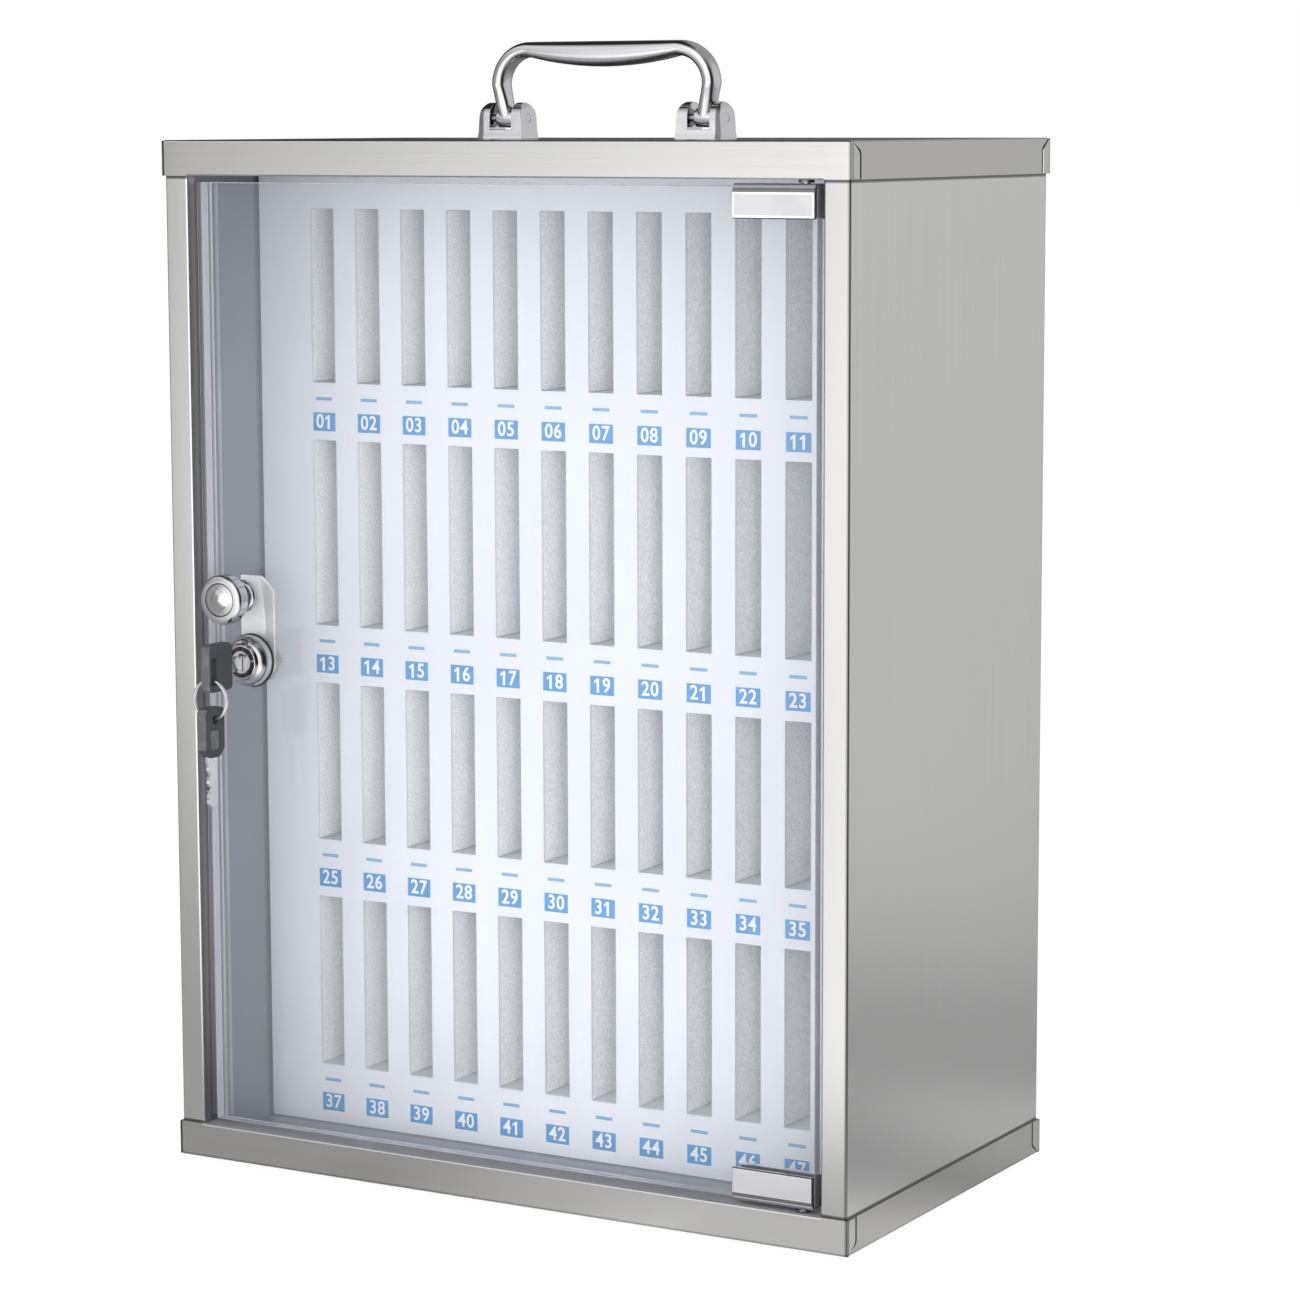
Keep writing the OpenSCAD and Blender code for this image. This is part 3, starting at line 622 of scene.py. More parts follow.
class LOCKER_OT_finishes(Operator):
    """Mixes every finish on the locker."""

    bl_idname = "locker.finishes"
    bl_label = "Finishes"

    def execute(self, context):
        self.sheets(context.scene.locker_steel)
        self.hardware(context.scene.locker_metal)
        self.rack(context.scene.locker_rack)
        return {"FINISHED"}

    def sheets(self, steel):
        """Each seam is a painted shade line and has its axis, level, full and faded distance, depth and the
        faces that show it.
        """
        # Dark lines under the caps' edges, in the corner where the inner wall meets the printed panel, and in
        # the door stop's corner and along its flange: painted shade.
        seams = [("Z", CAP_H / TO_MM, 0.0008, 0.0019, 0.88, None),
                 ("Z", (HEIGHT - CAP_H) / TO_MM, 0.0008, 0.0020, 0.88, None)]
        corner = [("Y", PANEL_FACE / TO_MM, 0.0016, 0.0062, 0.75, None)]
        stop = [("Y", (FRONT + STOP_D) / TO_MM, 0.0010, 0.0034, 0.50, "X"),
                ("X", (STOP_SHADE_LINE - OPENING) / TO_MM, 0.0004, 0.0016, 0.55, "Y")]
        wall_fold = (WALL_OUT / TO_MM, (BACK - SHEET) / TO_MM)
        cap_fold = (CAP_HALF / TO_MM, BACK / TO_MM)
        satin = steel.roughness
        # Lit and shaded copies of one steel, by colour and by facing: painted light and shade. The right
        # panel's front and back faces are darker, the door stop's sideways faces lighter, and the inner walls
        # and door stop much darker.
        brushed_steel("left_steel", steel.left_colour, satin, UPRIGHT, seams, fold=wall_fold)
        brushed_steel("panel_steel", steel.right_colour, satin, UPRIGHT, seams, [("Y", 0.88)], wall_fold)
        brushed_steel("stop_steel", steel.stop_colour, 0.3, UPRIGHT, stop, [("X", 1.3)])
        brushed_steel("inner_steel", steel.inner_colour, 0.36, UPRIGHT, corner)
        # The caps' sideways faces are darker than their fronts, painted shade; the tabs are darkened less, a
        # painted highlight.
        for name, share in (("cap_steel", 0.83), ("tab_steel", 0.92)):
            brushed_steel(name, steel.cap_colour, satin, LEVEL, facing_light=[("X", share)], fold=cap_fold)
        # The lip gets a dark, barely metallic copy of the steel: painted shade in the recess below the pane.
        satin_metal("lip_steel", (0.29, 0.29, 0.305), 0.7, 0.2)
        satin_metal("seam_shadow", (0.05, 0.05, 0.052), 0.6)

    def hardware(self, metal):
        """The lock, keys, clamps, handle and pane."""
        bright_chrome("bright_chrome", metal.chrome_colour, 0.09)
        # Dark chrome for the knob's groove, the clamps' chamfers, the brackets' rims and the pivot bushes:
        # painted dark reflection and shade.
        bright_chrome("dark_reflection_chrome", (0.20, 0.20, 0.21), 0.2)
        bright_chrome("clamp_chrome", (0.60, 0.60, 0.62), 0.14)
        # The lower clamp gets a paler copy of the upper clamp's chrome: painted light.
        bright_chrome("clamp_low_lit_chrome", (0.86, 0.86, 0.89), 0.14)
        # Near-white chrome for the clamps' face borders: painted highlight.
        bright_chrome("highlight_border_chrome", (0.98, 0.98, 0.98), 0.12)
        satin_metal("zinc_plate", (0.62, 0.61, 0.59), 0.32)
        # A paler, barely metallic copy of the zinc, so that the plate behind the pane reads lit: painted
        # light.
        satin_metal("lit_plate_zinc", (0.80, 0.79, 0.775), 0.5, 0.15)
        satin_metal("plug_nickel", (0.52, 0.52, 0.54), 0.24)
        satin_metal("key_nickel", (0.74, 0.74, 0.74), 0.2)
        moulded_plastic("bow_inset", (0.105, 0.105, 0.11))
        # A paler black for the bows' front edges: painted highlight.
        moulded_plastic("bow_highlight", (0.085, 0.085, 0.09))
        moulded_plastic("bow_plastic", metal.bow_colour)
        moulded_plastic("ring_plastic", (0.012, 0.012, 0.013), 0.38)
        speckled("gasket_rubber", (0.03, 0.03, 0.032), 0.75, 1500.0, 3.0, 0.7, 1.5, 0.00005)
        clear_pane("pane_clear", (0.80, 0.86, 0.95), metal.pane_alpha, 0.05, 0.4)
        clear_pane("pane_edge", (0.62, 0.63, 0.70), 0.7, 0.16, 0.1, edge=True)

    def rack(self, rack):
        """The printed panel, the boards, the foam and the print."""
        printed_board("printed_white", rack.print_colour)
        grey_foam("pocket_foam", rack.foam_colour)
        # The shelves are the same white board given a darker copy: painted shade on the pockets' floors.
        for name, colour in (("white_board_core", (0.90, 0.905, 0.93)),
                             ("shelf_board_shaded", (0.60, 0.605, 0.63))):
            speckled(name, colour, 0.7, 1100.0, 3.0, 0.86, 1.06, 0.00008)
        speckled("label_blue", rack.label_colour, 0.45, 800.0, 2.0, 0.93, 1.06)
        speckled("line_blue", (0.15, 0.36, 0.60), 0.45, 800.0, 2.0, 0.93, 1.06)
        speckled("number_white", (0.88, 0.90, 0.94), 0.45, 800.0, 2.0, 0.97, 1.02)


class LOCKER_OT_caps(Operator):
    """Folds the top and bottom caps."""

    bl_idname = "locker.caps"
    bl_label = "Caps"

    finishes = ("cap_steel", "seam_shadow", "lip_steel", "tab_steel")

    def execute(self, context):
        bend = context.scene.locker_steel.bend
        roof = mirrored(self.pan(bend), 2, HEIGHT / 2)
        for node, bm in (("bottom_cap", self.pan(bend)), ("top_cap", roof)):
            place_piece(node + "_sheet", bm, "cabinet", self.finishes, [node])
        return {"FINISHED"}

    def pan(self, bend):
        """The bottom cap as a folded pan: four flanges, a lip turned in at the front, and corner tabs."""
        bm = bmesh.new()
        add_box(bm, (-CAP_HALF, FRONT, 0), (CAP_HALF, BACK, CAP_H))
        lid = [face for face in bm.faces if face.normal.z > 0.9]
        bmesh.ops.delete(bm, geom=lid, context="FACES_ONLY")
        for side in (-1, 1):
            cut(bm, (side * OPENING, 0, 0), (1, 0, 0))
        rim = [edge for edge in bm.edges if edge.is_boundary and abs(middle_of(edge).y - FRONT) < 0.01
               and abs(middle_of(edge).x) < OPENING]
        for move in ((0, LIP_D, 0), (0, 0, -LIP_TURN)):
            rim = [edge for edge in pull_edges(bm, rim, move) if edge.is_boundary and abs(run_of(edge).x) > 1]
        bm.normal_update()
        soften(bm, bend, 3)
        bmesh.ops.recalc_face_normals(bm, faces=bm.faces)
        thicken(bm, min(bm.faces, key=lambda face: face.calc_center_median().z), 2)
        for face in bm.faces:
            # The lip's top faces take the dark lip finish: painted shade.
            middle = face.calc_center_median()
            if face.normal.z > 0.9 and middle.z > CAP_H - 0.1 and abs(middle.x) < OPENING and middle.y < 0:
                face.material_index = 2
        for side in (-1, 1):
            for end in (-1, 1):
                self.add_corner(bm, side, end)
        return bm

    def add_corner(self, bm, side, end):
        """A corner tab folded round onto the side flange, with a painted shadow strip, a dark sheet a little
        larger than the tab, beside it.
        """
        reach = TAB_W + (TAB_GAP if end > 0 else TAB_GAP_FRONT)
        shadow_strip = [(SHADOW_STRIP_START, SHADOW_STRIP_START), (SHEET + SHADOW_STRIP_START, SHADOW_STRIP_START),
                 (reach - 0.9, TAB_CHAMFER - TAB_GAP / 2), (reach, TAB_CHAMFER + 1.2), (reach, CAP_H - 0.1),
                 (SHADOW_STRIP_START, CAP_H - 0.1)]
        tab = [(0.0, TAB_START), (SHEET, TAB_START), (TAB_W - 1, TAB_CHAMFER), (TAB_W, TAB_CHAMFER + 1.5),
               (TAB_W, CAP_H), (0.0, CAP_H)]
        for outline, proud, rounding, finish in ((shadow_strip, SHADOW_STRIP_PROUD, 0.02, 1), (tab, TAB_PROUD, 0.4, 3)):
            points = [(side * CAP_HALF, end * (BACK - along), height) for along, height in outline]
            before = set(bm.faces)
            moved = pull_face(bm, points, (side * proud, 0, 0))
            patch = [face for face in bm.faces if face not in before]
            for face in patch:
                face.material_index = finish
            bmesh.ops.recalc_face_normals(bm, faces=patch)
            bevel(bm, between(edges_at(moved), moved), rounding, 2)


class LOCKER_OT_panels(Operator):
    """Folds the side panels and finishes the back and the false floor."""

    bl_idname = "locker.panels"
    bl_label = "Side panels"

    fold_gap = 0.3
    stop_gap = 3.0
    fold_zone = 20.0

    def execute(self, context):
        bend = context.scene.locker_steel.bend
        right = mirrored(self.sheet(bend, False), 0)
        for side, bm, finish in (("left", self.sheet(bend, True), "left_steel"),
                                 ("right", right, "panel_steel")):
            self.mark_inside(bm)
            place_piece(side + "_panel_sheet", bm, "cabinet",
                        [finish, "inner_steel", "stop_steel"], [side + "_side_panel"])
        dress_node("back_panel", "panel_steel")
        # The false floor takes the inner walls' darker steel: painted shade.
        dress_node("floor_panel", "inner_steel")
        return {"FINISHED"}

    def sheet(self, bend, with_stop):
        """The left panel: rear flange, wall, front stile, return and, where asked, the hemmed door stop."""
        fold_low = CAP_H + self.fold_gap
        fold_high = HEIGHT - CAP_H - self.fold_gap
        stop_low = fold_low + self.stop_gap
        stop_high = fold_high - self.stop_gap
        outline = [(-WALL_OUT + REAR_FLANGE, BACK - SHEET), (-WALL_OUT, BACK - SHEET),
                   (-WALL_OUT, FRONT + SHEET), (-OPENING, FRONT + SHEET)]
        if with_stop:
            outline += [(-OPENING, FRONT + STOP_D), (-OPENING + STOP_W, FRONT + STOP_D),
                        (-OPENING + STOP_W, FRONT + STOP_HEM_D)]
        else:
            outline.append((-OPENING, FRONT + STOP_D + SHEET))
        levels = (SHEET, fold_low, stop_low, stop_high, fold_high, HEIGHT - SHEET)
        bm = bmesh.new()
        verts = [bm.verts.new((x, y, levels[0])) for x, y in outline]
        edges = [bm.edges.new(pair) for pair in zip(verts, verts[1:])]
        for low, high in zip(levels, levels[1:]):
            edges = [edge for edge in pull_edges(bm, edges, (0, 0, high - low)) if abs(run_of(edge).z) < 0.01]

        def is_cut(face):
            middle = face.calc_center_median()
            behind = middle.x > -OPENING - 0.1 and FRONT + SHEET + 0.1 < middle.y < FRONT + self.fold_zone
            at_stop = behind and middle.x > -OPENING + 0.1
            outside_fold = not fold_low <= middle.z <= fold_high
            outside_stop = not stop_low <= middle.z <= stop_high
            return (behind and outside_fold) or (at_stop and outside_stop)

        bmesh.ops.delete(bm, geom=[face for face in bm.faces if is_cut(face)], context="FACES")
        bm.normal_update()

        def is_inner_corner(edge):
            middle = middle_of(edge)
            return abs(middle.x + OPENING) < 0.05 and abs(middle.y - FRONT - STOP_D) < 0.05

        soften(bm, bend, 4, lambda edge: not is_inner_corner(edge))
        soften(bm, bend - SHEET, 3, is_inner_corner)
        thicken(bm, max(bm.faces, key=lambda face: face.calc_area()), 0)
        return bm

    def mark_inside(self, bm):
        """Gives the wall's inner face the second finish, and the return and the door stop the third: darker
        copies of the steel that paint the shade inside the box.
        """
        for face in bm.faces:
            middle = face.calc_center_median()
            if abs(abs(middle.x) - WALL_IN) < 0.1 and face.normal.x * middle.x < 0:
                face.material_index = 1
            elif abs(middle.x) < WALL_IN - 1 and FRONT + 1.2 < middle.y < FRONT + self.fold_zone:
                face.material_index = 2


class LOCKER_OT_rack(Operator):
    """Finishes the printed panel and the boards behind it."""

    bl_idname = "locker.rack"
    bl_label = "Rack"

    def execute(self, context):
        dress_node("slot_panel", "printed_white")
        for node in ("rail_boards", "end_boards", "divider_boards", "rack_back_board"):
            dress_node(node, "white_board_core")
        # The shelves' darker board is painted shade.
        dress_node("shelf_boards", "shelf_board_shaded")
        return {"FINISHED"}


def column_x(column):
    """Centre of a column of pockets."""
    return (column - (COLUMNS - 1) / 2) * PITCH


class LOCKER_OT_labels(Operator):
    """Prints a numbered label and a name line under every pocket."""

    bl_idname = "locker.labels"
    bl_label = "Labels"

    film = 0.12
    line_width = 9.4
    line_height = 1.6
    digit_height = 6.9
    digit_step = 5.0
    capital_share = 0.71
    stroke_share = 0.024
    narrowing = 0.94
    one = ((0.12, -0.5), (0.12, 0.5), (-0.02, 0.5), (-0.27, 0.3), (-0.27, 0.13), (-0.07, 0.26), (-0.07, -0.5))

    def execute(self, context):
        rack = context.scene.locker_rack
        shapes = {digit: self.digit_shape(digit) for digit in "0123456789"}
        squares, lines, numbers = (bmesh.new() for _ in range(3))
        for row, floor in enumerate(reversed(ROW_FLOOR)):
            for column in range(COLUMNS):
                x = column_x(column)
                z = floor - LABEL_DROP
                self.add_film(squares, x, z, rack.label_width, rack.label_height)
                self.add_film(lines, x, floor - LINE_DROP, self.line_width, self.line_height)
                for place, digit in enumerate(f"{row * COLUMNS + column + 1:02d}"):
                    shape = shapes[digit].copy()
                    move = (x + (place - 0.5) * self.digit_step, PANEL_FACE - self.film, z)
                    shape.transform(Matrix.Translation(move))
                    numbers.from_mesh(shape)
                    bpy.data.meshes.remove(shape)
        for shape in shapes.values():
            bpy.data.meshes.remove(shape)
        bmesh.ops.remove_doubles(numbers, verts=numbers.verts, dist=0.001)
        for name, bm, finish in (("label_squares", squares, "label_blue"),
                                 ("label_lines", lines, "line_blue"),
                                 ("label_numbers", numbers, "number_white")):
            place_piece(name, bm, "cabinet", [finish])
        return {"FINISHED"}

    def add_film(self, bm, x, z, width, height):
        """A rectangle of print on the panel."""
        low = (x - width / 2, PANEL_FACE - self.film, z - height / 2)
        add_box(bm, low, (x + width / 2, PANEL_FACE, z + height / 2))

    def digit_shape(self, digit):
        """A digit one film thick, upright and centred at the origin."""
        height = self.digit_height
        if digit == "1":
            bm = bmesh.new()
            pull_face(bm, [(x * height, y * height, 0) for x, y in self.one], (0, 0, self.film))
            bmesh.ops.recalc_face_normals(bm, faces=bm.faces)
            mesh = mesh_of(bm, "digit")
        else:
            curve = bpy.data.curves.new("digit", "FONT")
            curve.body = digit
            curve.size = height / self.capital_share
            curve.align_x = "CENTER"
            curve.align_y = "CENTER"
            curve.offset = self.stroke_share * height
            curve.extrude = self.film / 2
            curve.resolution_u = 4
            holder = add_object("digit", curve)
            bpy.context.view_layer.update()
            graph = bpy.context.evaluated_depsgraph_get()
            mesh = bpy.data.meshes.new_from_object(holder.evaluated_get(graph))
            narrow = Matrix.Diagonal((self.narrowing, 1, 1, 1))
            mesh.transform(Matrix.Translation((0, 0, self.film / 2)) @ narrow)
            bpy.data.objects.remove(holder)
            bpy.data.curves.remove(curve)
        mesh.transform(Matrix.Rotation(math.radians(90), 4, "X"))
        return mesh


class LOCKER_OT_foam(Operator):
    """Lines both walls of every pocket with foam."""

    bl_idname = "locker.foam"
    bl_label = "Foam"

    rounding = 0.9
    clearance = 0.05

    def execute(self, context):
        bm = bmesh.new()
        for floor, height in zip(ROW_FLOOR, ROW_HEIGHT):
            for column in range(COLUMNS):
                for side in (-1, 1):
                    self.add_pad(bm, column_x(column) + side * (SLOT_W + FOAM_T) / 2, floor, height)
        pads = place_piece("pocket_foam_pads", bm, "cabinet", ["pocket_foam"], ["foam_pads"],
                           sharp=60)
        return {"FINISHED"}

    def add_pad(self, bm, x, floor, height):
        """One pad, with rounded edges."""
        half = FOAM_T / 2 - self.clearance
        low = (x - half, FRONT + FOAM_FRONT + self.clearance, floor + self.clearance)
        high = (x + half, FRONT + FOAM_BACK - self.clearance, floor + height - self.clearance)
        bevel(bm, edges_at(add_box(bm, low, high)), self.rounding, 2)


class LOCKER_OT_pane(Operator):
    """Polishes the edges of the clear door."""

    bl_idname = "locker.pane"
    bl_label = "Clear door"

    def execute(self, context):
        bm = cad_shape("door_pane")
        soften(bm, 0.5)
        for face in bm.faces:
            face.material_index = 0 if abs(face.normal.y) > 0.99 else 1
        place_piece("door_pane_clear", bm, "door", ["pane_clear", "pane_edge"], ["door_pane"])
        return {"FINISHED"}


class LOCKER_OT_pivots(Operator):
    """Finishes the pivot clamps, their liners, screws and bushes."""

    bl_idname = "locker.pivots"
    bl_label = "Pivot clamps"

    chamfer = 1.05
    border = 0.9

    def execute(self, context):
        self.clamp("upper_clamp", "clamp_chrome", max)
        # The lower clamp's paler chrome is painted light.
        self.clamp("lower_clamp", "clamp_low_lit_chrome", min)
        refined("clamp_liners", "door", "gasket_rubber", 0.1)
        refined("clamp_screws", "door", "zinc_plate", 0.15)
        # The bushes get the dark chrome: painted dark reflection.
        for node in ("upper_pivot_bush", "lower_pivot_bush"):
            refined(node, "cabinet", "dark_reflection_chrome")
        return {"FINISHED"}

    def clamp(self, node, finish, extreme):
        """A clamp with a dark chamfer on its pin's side, a painted dark reflection, and a pale border round
        its face, a painted highlight.
        """
        bm = cad_shape(node)
        front = min(vert.co.y for vert in bm.verts)
        level = extreme(vert.co.z for vert in bm.verts if vert.co.y < front + 0.05)

        def on_chamfer(edge):
            return all(abs(vert.co.z - level) < 0.05 and vert.co.y < front + 0.05 for vert in edge.verts)

        soften(bm, self.chamfer, 1, on_chamfer)
        soften(bm, 0.5, 3)
        bm.normal_update()
        for face in bm.faces:
            if face.calc_center_median().y < front + self.chamfer and -0.98 < face.normal.y < -0.1:
                face.material_index = 1
        # A pale border inset round the face: painted highlight.
        flat = max((face for face in bm.faces if face.normal.y < -0.99), key=lambda face: face.calc_area())
        border = bmesh.ops.inset_individual(bm, faces=[flat], thickness=self.border, depth=0.0,
                                            use_even_offset=True)["faces"]
        for face in border:
            face.material_index = 2
        place_piece(node + "_fine", bm, "door", [finish, "dark_reflection_chrome", "highlight_border_chrome"], [node])


class LOCKER_OT_knob(Operator):
    """Turns the knob with its neck, dished rim and domed centre."""

    bl_idname = "locker.knob"
    bl_label = "Knob"

    def execute(self, context):
        r = KNOB_R
        profile = [(0, 0.6), (4.4, 0.6), (4.2, -3.0), (4.3, -4.6), (5, -6.5), (6.4, -7.8), (8.5, -8.6)]
        profile += arc(r - 1.8, -11, 1.8, 50, 0, 6) + arc(r - 2.6, -14.6, 2.6, 0, -70, 10)
        profile += [(8.3, -17.1), (7.9, -16.6), (7.4, -16.5)] + arc(0, -9.6, 8.8, -55, -90, 14)
        bm = bmesh.new()
        add_turned(bm, profile, KNOB)
        # The ring in the knob's groove gets the dark chrome: painted dark reflection and shade.
        for face in bm.faces:
            middle = face.calc_center_median()
            radius = math.hypot(middle.x - KNOB[0], middle.z - KNOB[1])
            if middle.y < FRONT - 16 and 7.2 < radius < 8.35:
                face.material_index = 1
        place_piece("pull_knob", bm, "door", ["bright_chrome", "dark_reflection_chrome"], ["knob"], sharp=40)
        rosette = [(0, PANE_FRONT), (8, PANE_FRONT), (8, PANE_FRONT - 1)]
        rosette += arc(5.8, PANE_FRONT - 1, 2.2, 0, -90, 8)
        rosette += [(4.6, PANE_FRONT - 3.2), (4.6, PANE_FRONT - 2.4), (0, PANE_FRONT - 2.4)]
        bm = bmesh.new()
        add_turned(bm, rosette, KNOB)
        place_piece("knob_base_ring", bm, "door", ["bright_chrome"], ["knob_rosette"], sharp=40)
        refined("knob_screw", "door", "zinc_plate", 0.15)
        refined("knob_washer", "door", "zinc_plate", 0.1)
        return {"FINISHED"}


class LOCKER_OT_lock(Operator):
    """Turns the lock's bezel and barrel and finishes its plate, nut, plug and cam."""

    bl_idname = "locker.lock"
    bl_label = "Lock"

    ring_segments = 8
    ring_gap = 11.0
    plate_cuts = ((0, -1), (1, -1), (-1, -1), (-1, 0))
    plate_reach = 9.8
    thread_start = 12.9
    thread_end = 4.2
    half_pitch = 0.5

    def execute(self, context):
        r = BEZEL_R
        profile = [(8, 2.2), (r - 0.2, 2.2), (r, 2.0), (r, 0.6)] + arc(r - 6.4, 0.6, 6.4, -10, -62, 14)
        profile += [(8.3, -6.35), (8.1, -6.5), (7.7, -6.5), (7.5, -6.3), (7.5, -4.3), (5.55, -4.3)]
        depth = self.thread_start
        profile += [(5.55, 13.2), (7.7, 13.2), (8, depth)]
        while depth > self.thread_end:
            for radius in (7.55, 8.0):
                depth -= self.half_pitch
                profile.append((radius, depth))
        bm = bmesh.new()
        add_turned(bm, profile, LOCK, closed=True)
        place_piece("lock_bezel", bm, "door", ["bright_chrome"], ["lock_housing"], sharp=40)
        self.face_ring()
        refined("lock_gasket", "door", "gasket_rubber")
        self.plate()
        refined("lock_nut", "door", "zinc_plate", 0.3)
        refined("lock_plug", "lock_plug", "plug_nickel", 0.15)
        for node, width in (("lock_cam", 0.2), ("cam_washer", 0.1), ("cam_screw", 0.2)):
            refined(node, "lock_plug", "zinc_plate", width)
        return {"FINISHED"}

    def face_ring(self):
        """The dark ring round the keyway, in separate segments."""
        bm = bmesh.new()
        step = 360.0 / self.ring_segments
        section = [(5.75, -6.0), (5.75, -4.35), (7.4, -4.35), (7.4, -6.0)]
        for index in range(self.ring_segments):
            add_turned(bm, section, LOCK, steps=6, closed=True, sweep=step - self.ring_gap,
                       start=index * step)
        place_piece("lock_ring_segments", bm, "door", ["ring_plastic"], ["lock_face_ring"],
                    sharp=40)

    def plate(self):
        """The plate behind the pane, trimmed where the photograph shows the wall."""
        bm = cad_shape("lock_plate")
        for along, rise in self.plate_cuts:
            aim = Vector((along, 0, rise)).normalized()
            place = Vector((LOCK[0], 0, LOCK[1])) + aim * self.plate_reach
            bmesh.ops.contextual_create(bm, geom=cut(bm, place, aim, True))
        bmesh.ops.recalc_face_normals(bm, faces=bm.faces)
        soften(bm, 0.25)
        # The plate's pale zinc is painted light.
        place_piece("lock_plate_fine", bm, "door", ["lit_plate_zinc"], ["lock_plate"])


class LOCKER_OT_keys(Operator):
    """Finishes the key in the lock and the spare on the ring."""

    bl_idname = "locker.keys"
    bl_label = "Keys"

    sunk_depth = 0.5

    def execute(self, context):
        bm = cad_shape("key_bow")
        soften(bm, 0.8, 3)
        self.mark_edge(bm, 1)
        place_piece("key_bow_fine", bm, "key", ["bow_plastic", "bow_highlight"], ["key_bow"])
        refined("key_blade", "key", "key_nickel", 0.15)
        self.spare_bow()
        self.spare_blade()
        return {"FINISHED"}

    def spare_bow(self):
        """The spare's bow, with paler sunk panels on its two faces."""
        bm = cad_shape("spare_bow")
        low, high = corners("spare_bow")
        sunk = (high.x - low.x) / 2 - self.sunk_depth
        for face in bm.faces:
            if abs(abs(face.calc_center_median().x - LOCK[0]) - sunk) < 0.1 and abs(face.normal.x) > 0.9:
                face.material_index = 1
        soften(bm, 0.45, 3)
        self.mark_edge(bm, 2)
        finishes = ["bow_plastic", "bow_inset", "bow_highlight"]
        place_piece("spare_bow_fine", bm, "spare_key", finishes, ["spare_bow"])

    def mark_edge(self, bm, finish):
        """Gives the bow's front edge a paler finish of its own, a painted highlight."""
        front = min(vert.co.y for vert in bm.verts)
        for face in bm.faces:
            if face.normal.y < -0.4 and face.calc_center_median().y < front + 2:
                face.material_index = finish

    def spare_blade(self):
        """The spare's blade, hung with its cut edge to the front."""
        bm = mirrored(cad_shape("spare_blade"), 1, FRONT + RING_D)
        soften(bm, 0.15)
        place_piece("spare_blade_fine", bm, "spare_key", ["key_nickel"], ["spare_blade"])


class LOCKER_OT_ring(Operator):
    """Winds the split ring from two coils of flat wire."""

    bl_idname = "locker.ring"
    bl_label = "Key ring"

    wire_r = 1.05
    wire_y = 0.84
    step_y = 0.9
    start_angle = -60

    def execute(self, context):
        bm = bmesh.new()
        made = bmesh.ops.create_grid(bm, x_segments=1, y_segments=1, size=0.5)["verts"]
        bmesh.ops.scale(bm, vec=(self.wire_r, self.wire_y, 1), verts=made)
        bevel(bm, made, 0.2, 2, "VERTICES")
        start = (LOCK[0] + RING_R, FRONT + RING_D - self.step_y / 2, RING_Z)
        bmesh.ops.translate(bm, vec=start, verts=bm.verts)
        centre = (LOCK[0], 0, RING_Z)
        turn = Matrix.Rotation(math.radians(self.start_angle), 3, "Y")
        bmesh.ops.rotate(bm, cent=centre, matrix=turn, verts=bm.verts)
        geom = whole(bm)
        for angle, steps, travel in ((330, 66, 0.0), (30, 8, self.step_y), (330, 66, 0.0)):
            geom = bmesh.ops.spin(bm, geom=geom, cent=centre, axis=(0, 1, 0), dvec=(0, travel / steps, 0),
                                  angle=math.radians(angle), steps=steps, use_merge=False,
                                  use_duplicate=False)["geom_last"]
        bmesh.ops.recalc_face_normals(bm, faces=bm.faces)
        place_piece("split_ring", bm, "key_ring", ["key_nickel"], ["key_ring"], sharp=50)
        return {"FINISHED"}


